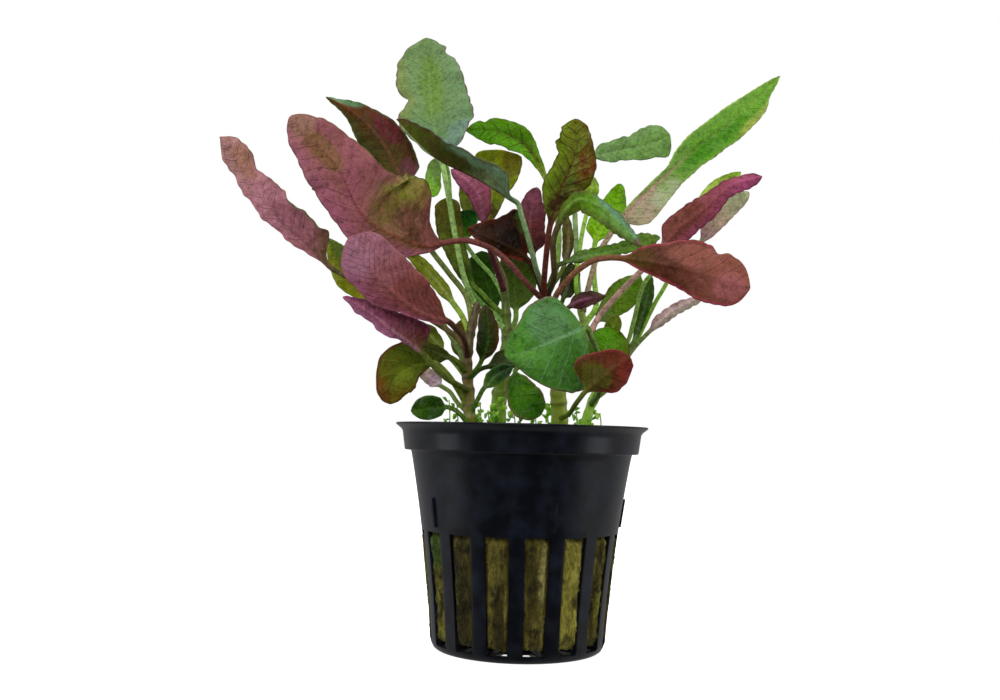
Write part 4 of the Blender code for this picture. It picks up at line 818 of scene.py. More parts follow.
def halfBlade(leaf, side, halfWidths, track, pick):
    # half a blade from midrib to margin: its upper and lower skin, mm from the midrib and to the margin
    route, right, upper, t, s, opened = track
    build = leafBuild
    u = build["across"][None, :]
    width = throughPoints([span[0] for span in leaf["spans"]], halfWidths, t[:, 0])[:, None]
    for along, biteSide, depth, reach in leaf["bites"]:
        if biteSide == side:
            width = width - depth * np.exp(-((t - along) / reach) ** 2)
    tipRound = np.sqrt(np.clip(1 - 0.93 * np.clip((t - 0.955) / 0.045, 0, 1) ** 2, 0, 1))
    width = np.maximum(width * tipRound, build["leastWidth"])
    angle = np.radians(leaf["fold"]) * opened + np.radians(leaf["curl"]) * opened * ease(0.2, 0.85, u)
    for rollSide, start, end, degrees in leaf["rolls"]:
        if rollSide == side:
            window = ease(start, start + 0.12, t) * (1 - ease(end - 0.12, end, t))
            angle = angle + np.radians(degrees) * window * ease(0.62, 1.0, u)
    middle = (angle[:, 1:] + angle[:, :-1]) / 2
    gap = np.diff(u, axis=1) * width
    zero = np.zeros((len(route), 1))
    x = np.hstack([zero, np.cumsum(gap * np.cos(middle), axis=1)])
    y = np.hstack([zero, np.cumsum(gap * np.sin(middle), axis=1)])
    flatX = width * u
    depth, spacing = leaf["teeth"]
    jag = depth * (np.abs(np.sin(math.pi * (s / spacing + pick.random()))) ** 0.7 - 0.6) * u ** 10
    jag = jag * ease(0.1, 0.3, t) * (1 - 0.6 * ease(0.93, 1.0, t))
    x = x + jag * np.cos(angle)
    y = y + jag * np.sin(angle)
    phase = (s - leaf["veinSlope"] * flatX) / leaf["veinGap"]
    bulge = np.abs(np.sin(math.pi * phase)) ** 0.8 - 0.6
    quilt = leaf["quilt"] * bulge * ease(0.04, 0.2, u) * (1 - ease(0.8, 1, u))
    waveDepth, waveGap = leaf["ruffle"]
    first, second, third = (pick.random() * math.tau for _ in range(3))
    ruffle = waveDepth * u * u * (np.sin(math.tau * s / waveGap + first)
                                  + 0.45 * np.sin(math.tau * s / (waveGap * 0.41) + second))
    sway = build["sway"] * u * np.sin(math.tau * s / (s[-1, 0] * 0.8) + third)
    relief = (quilt + (ruffle + sway) * (1 - 0.5 * ease(0.9, 1, t))) * opened
    lamina = build["thickness"] / 2 * (1 - 0.5 * u) * np.where(u < 1, 1, 0)
    groove = build["midribDepth"] * np.exp(-(flatX / 0.4) ** 2)
    keel = build["keel"] * np.exp(-(flatX / 0.45) ** 2) * (1 - 0.75 * t)
    rightWays = right[:, None, :]
    upperWays = upper[:, None, :]
    out = (-side * np.sin(angle))[..., None] * rightWays + np.cos(angle)[..., None] * upperWays
    ground = route[:, None, :] + rightWays * (side * x)[..., None] + upperWays * y[..., None]
    over = ground + out * (relief + lamina - groove * (u < 1))[..., None]
    below = ground + out * (relief - lamina - keel * (u < 1))[..., None]
    return over, below, flatX, width * (1 - u)


def aroundRing(overRight, overLeft, underLeft, underRight):
    # the order of a ring: right margin, over the upper side to the left margin, and back under
    return np.concatenate([overRight[:, :0:-1], overLeft[:, :-1], underLeft[:, :0:-1], underRight[:, :-1]],
                          axis=1)


def growLeaf(name, leaf):
    leaf = {"node": name, **leafDefaults, **leaf}
    leaf.update(zip(leafTints, leaf["tints"]))
    build = leafBuild
    pick = random.Random(leafSeed(leaf))
    route, stalkSteps, bladeSteps = leafRoute(leaf)
    share, right, upper = leafFrames(leaf, route, stalkSteps, bladeSteps)
    steps = np.concatenate([[0.0], np.cumsum(np.linalg.norm(np.diff(route, axis=0), axis=1))])
    s = (steps - steps[stalkSteps])[:, None]
    t = share[:, None]
    opened = ease(0.0, leaf["opening"], t)
    track = (route, right, upper, t, s, opened)
    _, lefts, rights = np.array(leaf["spans"]).T
    overRight, underRight, acrossRight, edgeRight = halfBlade(leaf, 1, rights, track, pick)
    overLeft, underLeft, acrossLeft, edgeLeft = halfBlade(leaf, -1, lefts, track, pick)
    blade = aroundRing(overRight, overLeft, underLeft, underRight)
    u = build["across"][None, :]
    v = aroundRing(u, -u, -u, u)
    quarter = aroundRing(1 - u, 1 + u, 3 - u, 3 + u)[0] * (math.pi / 2)
    # stalks have a shallow channel on top and a wider foot where they clasp the stem
    thick = leaf["spans"][0][1] > build["narrowFoot"]
    stalkRadius = build["stalkRadius"] if thick else build["thinStalkRadius"]
    clasp = 1 + build["clasp"] * np.exp(-steps[:, None] / 1.2)
    channel = 1 - build["channel"] * np.exp(-((quarter - math.pi / 2) / 0.5) ** 2)
    radius = stalkRadius * clasp * channel[None, :]
    stalk = (route[:, None, :] + right[:, None, :] * (radius * np.cos(quarter))[..., None]
             + upper[:, None, :] * (radius * np.sin(quarter))[..., None])
    blend = opened[..., None]
    points = stalk * (1 - blend) + blade * blend
    across = aroundRing(acrossRight, -acrossLeft, -acrossLeft, acrossRight)
    edge = aroundRing(edgeRight, edgeLeft, edgeLeft, edgeRight)
    sideOf = np.clip(np.sin(quarter) * 3, -1, 1)
    alongPlace = np.where(s < 0, s / max(steps[stalkSteps], 0.1), t)
    rows = np.ones_like(across)
    piece = addPiece(name + "_grown", points.reshape(-1, 3), ringFaces(len(route), len(quarter)),
                     leafCuticle(leaf), name)
    places = np.stack([alongPlace * rows, v * rows, np.where(s < 0, 5.0, edge)], axis=-1)
    addPlaces(piece.data, "leafPlace", places)
    addPlaces(piece.data, "leafMm", np.stack([across, s * rows, sideOf[None, :] * rows], axis=-1))


leaves = {
    "leaf_far_left": {
        "on": ("stem_left", 352), "turn": (30, 30), "fold": 8, "curl": 8, "shows": "under",
        "teeth": (0.22, 2.1),
        "stalk": [(450, 332, -3), (400, 302, -2), (352, 279, -3)],
        "midrib": [(329, 266, -4), (305, 240, -6), (283, 219, -8), (262, 195, -10), (243, 168, -11),
                   (220, 137, -12)],
        "spans": [(0, 0.8, 0.8), (0.08, 1.8, 3.8), (0.2, 3.4, 5.9), (0.34, 4, 5.3), (0.48, 4.2, 4.4),
                  (0.6, 3.9, 4), (0.7, 3.6, 3.3), (0.82, 3.5, 3.9), (0.93, 2.6, 3), (1, 0.6, 0.6)],
        "bites": [(0.73, 1, 0.9, 0.05)],
        "rolls": [(1, 0.12, 0.55, -110)],
        "tints": ("#a86560", "#d28a9c", "#b2837a", "#8a4a4a", "#5c7a1c", "#7c6a3a"), "vein": "#b06a88",
        "ribTint": "#9c5a74", "ribShare": 0.3, "marble": "#8f5c58",
        "patches": [(0.1, 0.4, 0.12, 0.8, "#5c4a1c"), (0.34, 0.2, 0.2, 0.5, "#9a5f66"),
                    (0.8, 0.3, 0.12, 0.6, "#a8785c")]},
    "leaf_behind_left": {
        "on": ("stem_left", 364), "fold": 10, "shows": "under",
        "stalk": [(459, 350, 0), (449, 333, 3), (438, 319, 5), (425, 312, 7)],
        "midrib": [(405, 304, 7), (380, 290, 7), (355, 270, 6), (340, 253, 6), (328, 238, 6)],
        "spans": [(0, 0.8, 0.8), (0.3, 4, 2.6), (0.55, 5.4, 3.2), (0.8, 3.6, 2), (1, 0.4, 0.4)],
        "tints": ("#4c5a14", "#7a7c18", "#607828", "#7fae20", "#41661c", "#86a24e"),
        # its lime left half is a painted backlight glow on the lower margin
        "left": ("#a4a818", 0.9)},
    "leaf_left_large": {
        "on": ("stem_middle", 306), "turn": (8, 8), "curl": 10, "shows": "under", "opening": 0.06,
        "teeth": (0.2, 2.4), "ruffle": (0.45, 9),
        "stalk": [(528, 285, -9), (510, 264, -11), (492, 249, -12), (470, 241, -13), (456, 241, -13)],
        "midrib": [(444, 243, -13), (430, 246, -13), (413, 243, -13), (395, 236, -13), (375, 226, -13),
                   (362, 215, -14), (352, 198, -15), (340, 172, -17), (322, 150, -18), (305, 133, -19),
                   (290, 117, -19)],
        "spans": [(0, 0.8, 0.8), (0.04, 1, 5.4), (0.1, 1.8, 10.4), (0.16, 3.2, 12.6), (0.24, 5, 13.6),
                  (0.4, 6, 13.2), (0.5, 6.2, 11.6), (0.63, 7.4, 7.8), (0.77, 6.2, 6), (0.89, 4.4, 4.6),
                  (1, 1.4, 1.8)],
        # its pink stalk top is partly a painted highlight; the pink left tint paints glare on the lit part
        # and the olive right tint paints the shaded, backlit part
        "tints": ("#6a4a18", "#a45c68", "#a87064", "#6e3038", "#5c6e24", "#a8746c"),
        "left": ("#b0608a", 0.5), "ribTint": "#7a3430", "ribShare": 0.5, "vein": "#7c3c44",
        "veinShare": 0.14, "marble": "#8a5640", "marbleShare": 0.5, "right": ("#665a1a", 0.85),
        "stalkUnder": "#74403a",
        # the pink first patch paints the same glare towards the tip; the olive second and third patches paint
        # more of the shaded, backlit part
        "patches": [(0.8, 0.6, 0.4, 0.95, "#a05a68"), (0.2, 0.7, 0.34, 0.86, "#6c641c"),
                    (0.36, 0.95, 0.16, 0.4, "#868c2a"), (0.13, 0.3, 0.17, 0.34, "#4c2c12"),
                    (0.05, 0.6, 0.1, 0.9, "#6c3c34"), (0.8, 0.05, 0.15, 0.4, "#86653a"),
                    (0.97, 0.2, 0.1, 0.9, "#96705c")]},
    "leaf_left_round": {
        "on": ("stem_left", 357), "turn": (-8, 8), "fold": 8, "curl": 8, "shows": "under", "opening": 0.06,
        "quilt": 0.16,
        "stalk": [(464, 340, -11), (456, 329, -17)],
        "midrib": [(447, 321, -22), (430, 317, -24), (410, 306, -26), (385, 284, -27), (365, 262, -27),
                   (350, 237, -26)],
        "spans": [(0, 0.9, 0.9), (0.04, 0.9, 3.2), (0.13, 1, 5.2), (0.3, 1.9, 6.4), (0.55, 4.8, 6.8),
                  (0.77, 5, 6.4), (0.92, 3.4, 5), (1, 1.4, 2.6)],
        "tints": ("#6c3220", "#824640", "#9c6474", "#b0607a", "#4c5a1e", "#6a4030"),
        "left": ("#8f4668", 0.5), "ribTint": "#96585a", "vein": "#552230", "veinShare": 0.3, "veinGap": 1.9,
        "veinSlope": 1.5, "marble": "#6a3436",
        "patches": [(0.3, 0.4, 0.22, 0.5, "#6c3630"), (0.86, -0.3, 0.16, 0.7, "#a06c80")]},
    "leaf_left_folded": {
        "on": ("stem_left", 390), "turn": (30, 30), "fold": 8, "curl": 6, "shows": "under", "opening": 0.08,
        "stalk": [(458, 385, -12), (445, 377, -15), (430, 362, -17)],
        "midrib": [(422, 352, -18), (413, 345, -19), (400, 335, -20), (375, 315, -21), (355, 303, -21),
                   (343, 297, -21)],
        "spans": [(0, 0.8, 0.8), (0.06, 0.8, 3.6), (0.13, 1, 5.4), (0.28, 1.3, 4.8), (0.54, 2.6, 2.8),
                  (0.8, 2.2, 1.6), (1, 0.4, 0.4)],
        "tints": ("#64401c", "#9a4e68", "#b86888", "#a5508a", "#41501c", "#6a7a2c"),
        "left": ("#c07aa4", 0.7), "right": ("#5c1a2c", 0.85)},
    "leaf_low_olive": {
        "on": ("stem_left", 406), "fold": 8, "curl": -6,
        "stalk": [(460, 393, -6), (448, 375, -9)],
        "midrib": [(434, 363, -11), (417, 365, -12), (402, 372, -13), (391, 386, -13), (391, 404, -12)],
        "spans": [(0, 0.8, 0.8), (0.25, 2.4, 5.6), (0.5, 4.4, 5.6), (0.75, 4.4, 3.3), (0.92, 2.6, 2),
                  (1, 0.8, 0.8)],
        "tints": ("#3a5406", "#58620c", "#66580e", "#561408", "#6a4038", "#7a8a34"), "rimWidth": 0.5,
        "rimShare": 0.75, "ribTint": "#7c8c2c", "ribShare": 0.3, "vein": "#78802e", "veinShare": 0.14,
        "marble": "#3c500a",
        "patches": [(0.9, 0.6, 0.2, 0.6, "#6a3a0c"), (0.5, -0.2, 0.2, 0.4, "#68760f")]},
    "leaf_dark_folded": {
        "on": ("stem_left", 374), "turn": (40, 40), "fold": 8,
        "stalk": [(458, 363, -8)],
        "midrib": [(451, 358, -8), (437, 352, -8), (420, 347, -8), (401, 344, -8)],
        "spans": [(0, 0.8, 0.8), (0.3, 3, 2.4), (0.6, 4, 2.4), (0.85, 2.8, 1.6), (1, 0.4, 0.4)],
        "tints": ("#3e5410", "#5c6a12", "#2e3a0a", "#4d2820", "#4a2a28", "#5a6a24"),
        "right": ("#6a7020", 0.6)},
    "leaf_mauve_low": {
        "on": ("stem_left", 414), "shows": "under",
        "stalk": [(457, 402, -1), (450, 392, 4)],
        "midrib": [(441, 386, 6), (432, 379, 7), (421, 370, 8)],
        "spans": [(0, 0.6, 0.6), (0.4, 1.7, 1.9), (0.8, 1.6, 1.6), (1, 0.4, 0.4)],
        "tints": ("#c4aeb4", "#bc9aa8", "#a89a78", "#7a8a50", "#6a8040", "#8aa84a")},
    "leaf_oval_low": {
        "on": ("stem_left", 424), "fold": 8, "teeth": (0.04, 1.5),
        "stalk": [(461, 415, -8), (455, 410, -9)],
        "midrib": [(447, 407, -10), (430, 408, -11), (411, 411, -12)],
        "spans": [(0, 0.5, 0.5), (0.2, 1.9, 2.1), (0.5, 2.5, 2.7), (0.8, 2, 2.1), (1, 0.5, 0.5)],
        "tints": ("#2c4c06", "#254a05", "#3a5e0a", "#3f7020", "#4a6a2c", "#5a7a2c"), "rimShare": 0.5,
        "ribTint": "#4a7424", "vein": "#3f6c1c", "wet": 0.5},
    "leaf_top": {
        "on": ("stem_back", 330), "fold": 8, "curl": -8, "teeth": (0.3, 3.1), "ruffle": (0.4, 9),
        "stalk": [(480, 312, 4), (465, 280, 2), (456, 240, 1), (450, 205, 1), (446, 182, 1)],
        "midrib": [(443, 166, 2), (437, 140, 4), (432, 115, 6), (430, 85, 9), (428, 60, 11), (426, 38, 12)],
        "spans": [(0, 0.8, 0.8), (0.08, 3, 3.2), (0.15, 4, 5.8), (0.22, 5.4, 7.2), (0.36, 7.9, 9.7),
                  (0.5, 5.7, 9), (0.63, 7.9, 8.2), (0.8, 7.5, 6.7), (0.93, 4.2, 4.2), (1, 0.9, 0.9)],
        "bites": [(0.52, -1, 0.5, 0.03), (0.87, 1, 1.1, 0.028), (0.94, 1, 0.8, 0.018)],
        "tints": ("#60845a", "#6c8c50", "#728e52", "#7c4038", "#8a6a70", "#9cc06c"),
        "left": ("#749462", 0.6), "right": ("#6e8f66", 0.6), "rimShare": 0.45, "ribTint": "#8caa6a",
        "ribShare": 0.25, "vein": "#86a468", "veinShare": 0.14, "marble": "#5c7c48",
        "patches": [(0.62, 0.05, 0.26, 0.34, "#6a8c34"), (0.16, 0.8, 0.16, 0.45, "#6f8c7c"),
                    (0.55, -0.9, 0.3, 0.3, "#7a8a4a")]},
    "leaf_long_dark": {
        "on": ("stem_middle", 288), "turn": (100, 100), "fold": 48, "shows": "under", "quilt": 0.18,
        "stalk": [(538, 273, -8), (533, 255, -10), (527, 233, -11), (521, 213, -11)],
        "midrib": [(517, 202, -11), (500, 192, -12), (480, 180, -13), (460, 170, -14), (440, 160, -14),
                   (420, 143, -14), (397, 119, -13)],
        "spans": [(0, 0.8, 0.8), (0.08, 3, 3.6), (0.16, 4.2, 5.4), (0.35, 5.6, 5), (0.6, 6, 5.4),
                  (0.8, 4.4, 4.2), (1, 0.4, 0.4)],
        "tints": ("#8aa070", "#323e06", "#545c10", "#4c1c18", "#6f9278", "#7c9868"), "rimShare": 0.75,
        "rimWidth": 0.4, "vein": "#4a3418", "ribTint": "#4e1f1c", "ribShare": 0.6, "stalkUnder": "#6c885a",
        "marble": "#4a2a14",
        "patches": [(0.28, 0.95, 0.32, 0.42, "#6a8c6c"), (0.1, 0.5, 0.12, 0.6, "#6a8c66")]},
    "leaf_red_brown": {
        "on": ("stem_left", 322), "fold": 10, "shows": "under",
        "stalk": [(466, 296, 1), (448, 272, 4), (428, 245, 6), (416, 215, 7)],
        "midrib": [(408, 192, 8), (398, 171, 8), (385, 146, 8), (365, 122, 8), (345, 108, 7), (326, 97, 6)],
        "spans": [(0, 0.9, 0.9), (0.07, 3.2, 3.6), (0.18, 4.6, 5.4), (0.42, 5.2, 5.8), (0.65, 3.8, 4),
                  (0.83, 1.4, 2.2), (1, 0.3, 0.3)],
        "tints": ("#6a5420", "#40360a", "#6a3a16", "#40602c", "#4a7040", "#808e4c"),
        "left": ("#38440a", 0.7), "right": ("#5e2416", 0.6), "rimWidth": 0.4, "rimShare": 0.5,
        "vein": "#7c444a", "veinShare": 0.14, "ribTint": "#7c4038", "ribShare": 0.4,
        "stalkUnder": "#6e7c3a", "marble": "#3a3c0a",
        "patches": [(0.9, 0.8, 0.16, 0.55, "#6a9a6a"), (0.5, 0.6, 0.14, 0.5, "#6e1f2c"),
                    (0.14, 0.5, 0.12, 0.5, "#75404a")]},
    "leaf_bright_veined": {
        "on": ("stem_middle", 300), "fold": 10,
        "stalk": [(556, 270, 5), (559, 235, 9), (554, 200, 12)],
        "midrib": [(546, 179, 13), (535, 158, 14), (520, 141, 15), (498, 132, 15), (466, 130, 15)],
        "spans": [(0, 0.8, 0.8), (0.22, 1.2, 1.3), (0.36, 2.4, 2.4), (0.5, 3.4, 3.4), (0.73, 3.6, 3.2),
                  (0.9, 2, 2.2), (1, 0.4, 0.4)],
        "bites": [(0.82, 1, 0.8, 0.03)],
        "tints": ("#76820f", "#447406", "#58a008", "#3a660c", "#7a5a50", "#84a84a"),
        "right": ("#66a40a", 0.6), "vein": "#4a3008", "veinShare": 0.6, "ribTint": "#5c4014",
        "stalkUnder": "#7a7a4a", "marble": "#5aa00a",
        "patches": [(0.4, -0.6, 0.3, 0.4, "#62a80a")]},
    "leaf_yellow_olive": {
        "on": ("stem_back", 296), "shows": "under", "opening": 0.1,
        "stalk": [(506, 283, 14), (499, 266, 17), (491, 248, 18)],
        "midrib": [(489, 224, 19), (489, 210, 20), (495, 185, 21), (499, 166, 21), (501, 150, 21)],
        "spans": [(0, 0.8, 0.8), (0.08, 3.4, 1.4), (0.2, 7, 2.4), (0.42, 8.4, 3.2), (0.66, 7.2, 5),
                  (0.9, 6.2, 5.6), (1, 4.6, 4.6)],
        # its bright yellow-olive tints are partly its own colour and partly painted backlight glow
        "tints": ("#585818", "#76880e", "#98a812", "#5a4418", "#6a7a24", "#7a6a3a"), "vein": "#8e9030",
        "ribTint": "#8c9030", "wet": 0.2,
        "patches": [(0.12, 0.1, 0.16, 0.9, "#42300c"), (0.86, 0.6, 0.2, 0.5, "#7a7010")]},
    "leaf_magenta_narrow": {
        "on": ("stem_back", 292), "fold": 8, "shows": "under",
        "stalk": [(494, 262, 3), (487, 240, 0)],
        "midrib": [(484, 224, -1), (481, 205, -2), (473, 188, -2), (451, 170, -2)],
        "spans": [(0, 0.8, 0.8), (0.33, 1.9, 2.6), (0.62, 2.1, 4), (0.85, 1.4, 2.2), (1, 0.4, 0.4)],
        "tints": ("#704430", "#b05c70", "#c07088", "#5a1030", "#4a5a24", "#7a3a44"),
        "right": ("#983e5c", 0.6), "left": ("#c05c8c", 0.5), "rimShare": 0.7, "vein": "#c070a0",
        "veinShare": 0.2, "veinSlope": 0.1, "veinGap": 1.1, "ribTint": "#b0608a"},
    "leaf_maroon_folded": {
        "on": ("stem_middle", 306), "fold": 0, "curl": 6, "shows": "under", "opening": 0.1,
        "ruffle": (0.6, 5), "quilt": 0.25,
        "stalk": [(539, 282, -3)],
        "midrib": [(528, 260, -4), (511, 248, -6), (491, 239, -6), (468, 228, -5)],
        "spans": [(0, 0.8, 0.8), (0.1, 1.2, 1.6), (0.24, 1.8, 5.2), (0.4, 2.2, 8.6), (0.55, 2.2, 7.4),
                  (0.8, 1.6, 3.2), (1, 0.6, 0.6)],
        "tints": ("#4c220a", "#180b04", "#44220c", "#7c1c1c", "#34461a", "#4a2a1c"), "rimShare": 0.75,
        "rimWidth": 0.4, "vein": "#5a2c18", "ribTint": "#3a2c10",
        "patches": [(0.36, 0.8, 0.1, 0.25, "#3c5214"), (0.55, 0.5, 0.2, 0.3, "#2c1208"),
                    (0.35, 0.25, 0.15, 0.25, "#120a04")]},
    "leaf_magenta_centre": {
        "on": ("stem_middle", 292), "curl": 6, "shows": "under",
        "stalk": [(537, 272, 1)],
        "midrib": [(533, 256, 2), (530, 235, 3), (531, 212, 4), (538, 188, 4)],
        "spans": [(0, 0.8, 0.8), (0.14, 3.6, 3), (0.3, 4.4, 3.5), (0.63, 3.3, 3.4), (0.88, 2.2, 1.8),
                  (1, 0.8, 0.8)],
        "tints": ("#2e1408", "#60281f", "#84465a", "#4a1020", "#44521e", "#5a3024"),
        # the pinker left tint is a painted pink sheen on the upper left; the pinker tip is partly the same
        # painted sheen
        "left": ("#7c3c54", 0.5), "right": ("#541c28", 0.5), "vein": "#8a4050", "ribTint": "#8a4c58",
        "marble": "#4c1820"},
    "leaf_upright_veined": {
        "on": ("stem_middle", 318), "ruffle": (0.4, 5.5), "quilt": 0.22,
        "stalk": [(544, 288, -10), (547, 248, -12)],
        "midrib": [(550, 226, -12), (556, 205, -12), (562, 187, -12), (571, 166, -12), (577, 146, -12),
                   (576, 119, -11)],
        "spans": [(0, 0.9, 0.9), (0.19, 3, 1.8), (0.36, 4.2, 4), (0.5, 3.7, 5.4), (0.6, 3.7, 5.3),
                  (0.76, 4.8, 3.4), (0.92, 3.2, 2.4), (1, 0.8, 0.8)],
        "rolls": [(-1, 0.55, 0.98, 75)],
        "tints": ("#201e02", "#40500a", "#6a720c", "#561c06", "#2c5040", "#55241c"),
        "left": ("#6e900c", 0.8), "right": ("#4c2c06", 0.55), "rimShare": 0.6, "vein": "#481606",
        "veinShare": 0.75, "veinGap": 2.5, "ribTint": "#4a1c08", "ribShare": 0.6, "marble": "#6c7c08",
        "marbleShare": 0.5,
        "patches": [(0.6, 0.55, 0.14, 0.45, "#6a2c08"), (0.12, 0, 0.16, 0.9, "#2c1c04"),
                    (0.82, 0.2, 0.12, 0.4, "#5c6c0a")]},
    "leaf_grey_green": {
        "on": ("stem_right", 334), "fold": 8, "curl": -6, "teeth": (0.22, 2.6), "ruffle": (0.4, 6.5),
        "stalk": [(582, 312, 8), (578, 285, 9), (576, 240, 12), (575, 200, 15), (580, 170, 16)],
        "midrib": [(591, 157, 16), (607, 153, 17), (627, 149, 18), (647, 145, 19), (670, 135, 19)],
        "spans": [(0, 0.8, 0.8), (0.1, 2.4, 1.8), (0.25, 2.6, 2.7), (0.5, 3.3, 3.2), (0.72, 4.3, 3.6),
                  (0.86, 4.2, 4.7), (0.94, 3, 3.2), (1, 1.4, 1.2)],
        "bites": [(0.33, 1, 0.5, 0.04), (0.5, -1, 0.4, 0.05)],
        "tints": ("#769a5a", "#76a050", "#7aa850", "#5a7c40", "#7a8a6a", "#8aa86a"),
        "left": ("#86ac6c", 0.5), "vein": "#86a468", "ribTint": "#84a468", "ribShare": 0.25},
    "leaf_bright_upper": {
        "on": ("stem_right", 322),
        "stalk": [(596, 306, 5), (594, 275, 13)],
        "midrib": [(595, 243, 20), (601, 227, 21), (611, 207, 22), (621, 184, 22)],
        "spans": [(0, 0.8, 0.8), (0.14, 3.4, 2.4), (0.35, 3.4, 3.4), (0.6, 2.8, 4), (0.85, 1.8, 2.3),
                  (1, 0.7, 0.7)],
        "tints": ("#98d008", "#7cc006", "#80c006", "#4a7a10", "#88a050", "#8ab83e"),
        "right": ("#7ca83c", 0.4), "vein": "#3f6a0c", "veinShare": 0.5, "ribTint": "#a0c050"},
    "leaf_bright_small": {
        "on": ("stem_right", 305),
        "stalk": [(576, 284, -1), (581, 240, 4), (587, 212, 8)],
        "midrib": [(590, 200, 9), (592, 189, 9), (594, 177, 9)],
        "spans": [(0, 0.7, 0.7), (0.35, 1.9, 1.7), (0.7, 1.7, 1.4), (1, 0.4, 0.4)],
        "tints": ("#7c9c18", "#88ac18", "#98b848", "#55801a", "#88a050", "#8ab83e"), "vein": "#4a740c",
        "veinShare": 0.45},
    "leaf_folded_right": {
        "on": ("stem_middle", 300), "shows": "under", "teeth": (0.3, 1.7),
        "stalk": [(554, 278, -14), (553, 245, -18)],
        "midrib": [(558, 226, -18), (567, 209, -19), (580, 200, -19), (596, 205, -20), (612, 217, -20),
                   (628, 232, -20), (642, 247, -19)],
        "spans": [(0, 0.8, 0.8), (0.2, 1.5, 1.8), (0.38, 2, 2.6), (0.52, 1.6, 2.6), (0.7, 1.5, 2.3),
                  (0.85, 1.2, 1.6), (1, 0.3, 0.3)],
        "tints": ("#444e08", "#5e9410", "#80b060", "#5c3018", "#62a07a", "#5a4a28"),
        "right": ("#54601a", 0.75), "vein": "#6a8a2a", "ribTint": "#7a9a4a", "marble": "#404a0a",
        "patches": [(0.74, -0.7, 0.3, 0.65, "#6c9c7c"), (0.97, 0, 0.06, 0.9, "#8a6a5c")]},
    "leaf_long_right": {
        "on": ("stem_right", 314), "curl": 4, "opening": 0.05,
        "stalk": [(588, 289, 1), (597, 257, 4), (608, 238, 6)],
        "midrib": [(619, 223, 7), (645, 195, 9), (671, 171, 11), (700, 145, 13), (730, 122, 15),
                   (757, 98, 16), (780, 76, 17)],
        "spans": [(0, 0.9, 0.9), (0.04, 1.1, 3.8), (0.09, 1.2, 5.4), (0.16, 1.2, 5.3), (0.32, 1.4, 4.2),
                  (0.42, 3, 4.1), (0.5, 3.5, 4.5), (0.68, 3.5, 4.6), (0.83, 2.4, 3.9), (0.9, 1.7, 1.9),
                  (0.96, 0.9, 1), (1, 0.3, 0.3)],
        "tints": ("#a88c7a", "#629a24", "#72a832", "#9cbc40", "#b8a088", "#9c8a68"),
        "left": ("#72a04a", 0.45), "right": ("#4c8c18", 0.4), "rimShare": 0.5, "vein": "#7cac50",
        "veinShare": 0.12, "ribTint": "#b88c80", "ribShare": 0.75, "ribEnd": 0.42, "marble": "#6ca43a",
        "stalkUnder": "#a07868",
        "patches": [(0.1, 0.6, 0.16, 0.75, "#b89c8c"), (0.24, 0.7, 0.08, 0.5, "#a8b088"),
                    (0.55, 0.3, 0.2, 0.45, "#3f8008"), (0.78, 0.9, 0.1, 0.3, "#a8b050")]},
    "leaf_purple_right": {
        "on": ("stem_middle", 352), "fold": 8, "curl": 6, "shows": "under", "teeth": (0.25, 2.2),
        "stalk": [(568, 354, -12), (583, 343, -14), (601, 314, -12), (621, 291, -10), (643, 269, -8)],
        "midrib": [(660, 250, -7), (680, 228, -8), (705, 209, -9), (730, 187, -10), (762, 177, -10)],
        "spans": [(0, 0.9, 0.9), (0.2, 3.4, 3.2), (0.45, 3, 2.8), (0.7, 1.9, 1.9), (0.88, 1.8, 1.8),
                  (1, 0.6, 0.6)],
        "tints": ("#7a4030", "#984e50", "#a84c74", "#5a1034", "#48602a", "#98866a"),
        "left": ("#7a4030", 0.4), "right": ("#983c6a", 0.5), "rimShare": 0.6, "vein": "#9a4a58",
        "veinShare": 0.12, "ribTint": "#8c404c", "ribShare": 0.2, "stalkUnder": "#a08070",
        "marble": "#7a3430",
        "patches": [(0.3, -0.2, 0.22, 0.6, "#764030")]},
    "leaf_pale_right": {
        "on": ("stem_right", 372),
        "stalk": [(612, 357, 4), (627, 343, 4), (634, 320, 3), (645, 282, 2), (670, 262, 2)],
        "midrib": [(700, 243, 0), (715, 226, -1), (730, 210, -1), (749, 192, -2)],
        "spans": [(0, 0.7, 0.7), (0.2, 2.2, 1.3), (0.55, 2.6, 1.6), (0.85, 2, 1.4), (1, 0.5, 0.5)],
        "tints": ("#c08c94", "#c8ae90", "#c4cc9c", "#b0708a", "#9a7a70", "#7fa04a"), "vein": "#c0b89a",
        "ribTint": "#c8b0a0", "marble": "#8c8c5c"},
    "leaf_sliver_right": {
        "on": ("stem_right", 386),
        "stalk": [(614, 370, 9), (634, 345, 10), (654, 305, 11), (668, 280, 11), (678, 250, 9)],
        "midrib": [(690, 225, 8), (703, 205, 7), (718, 189, 6), (741, 172, 5)],
        "spans": [(0, 0.7, 0.7), (0.3, 1.8, 1.8), (0.6, 2.2, 1.8), (0.85, 1.4, 1.4), (1, 0.3, 0.3)],
        "tints": ("#8cb840", "#c0dc60", "#98bc34", "#6a9028", "#8a6a60", "#8ab83e"), "vein": "#a0c060",
        "ribTint": "#a8c868"},
    "leaf_big_right": {
        "on": ("stem_middle", 324), "turn": (-6, 6), "curl": 10, "shows": "under", "ruffle": (0.45, 9),
        "stalk": [(555, 298, -14), (565, 283, -17), (577, 271, -18), (592, 261, -19), (605, 258, -20)],
        "midrib": [(620, 258, -21), (650, 262, -24), (680, 268, -26), (710, 276, -28), (750, 288, -28)],
        "spans": [(0, 0.9, 0.9), (0.1, 2.2, 1.4), (0.23, 3.6, 2.4), (0.46, 6, 3.8), (0.7, 7, 5.2),
                  (0.87, 6.4, 4.8), (0.95, 4.4, 3.4), (1, 1.8, 1.6)],
        "rolls": [(-1, 0.6, 1.05, 60)],
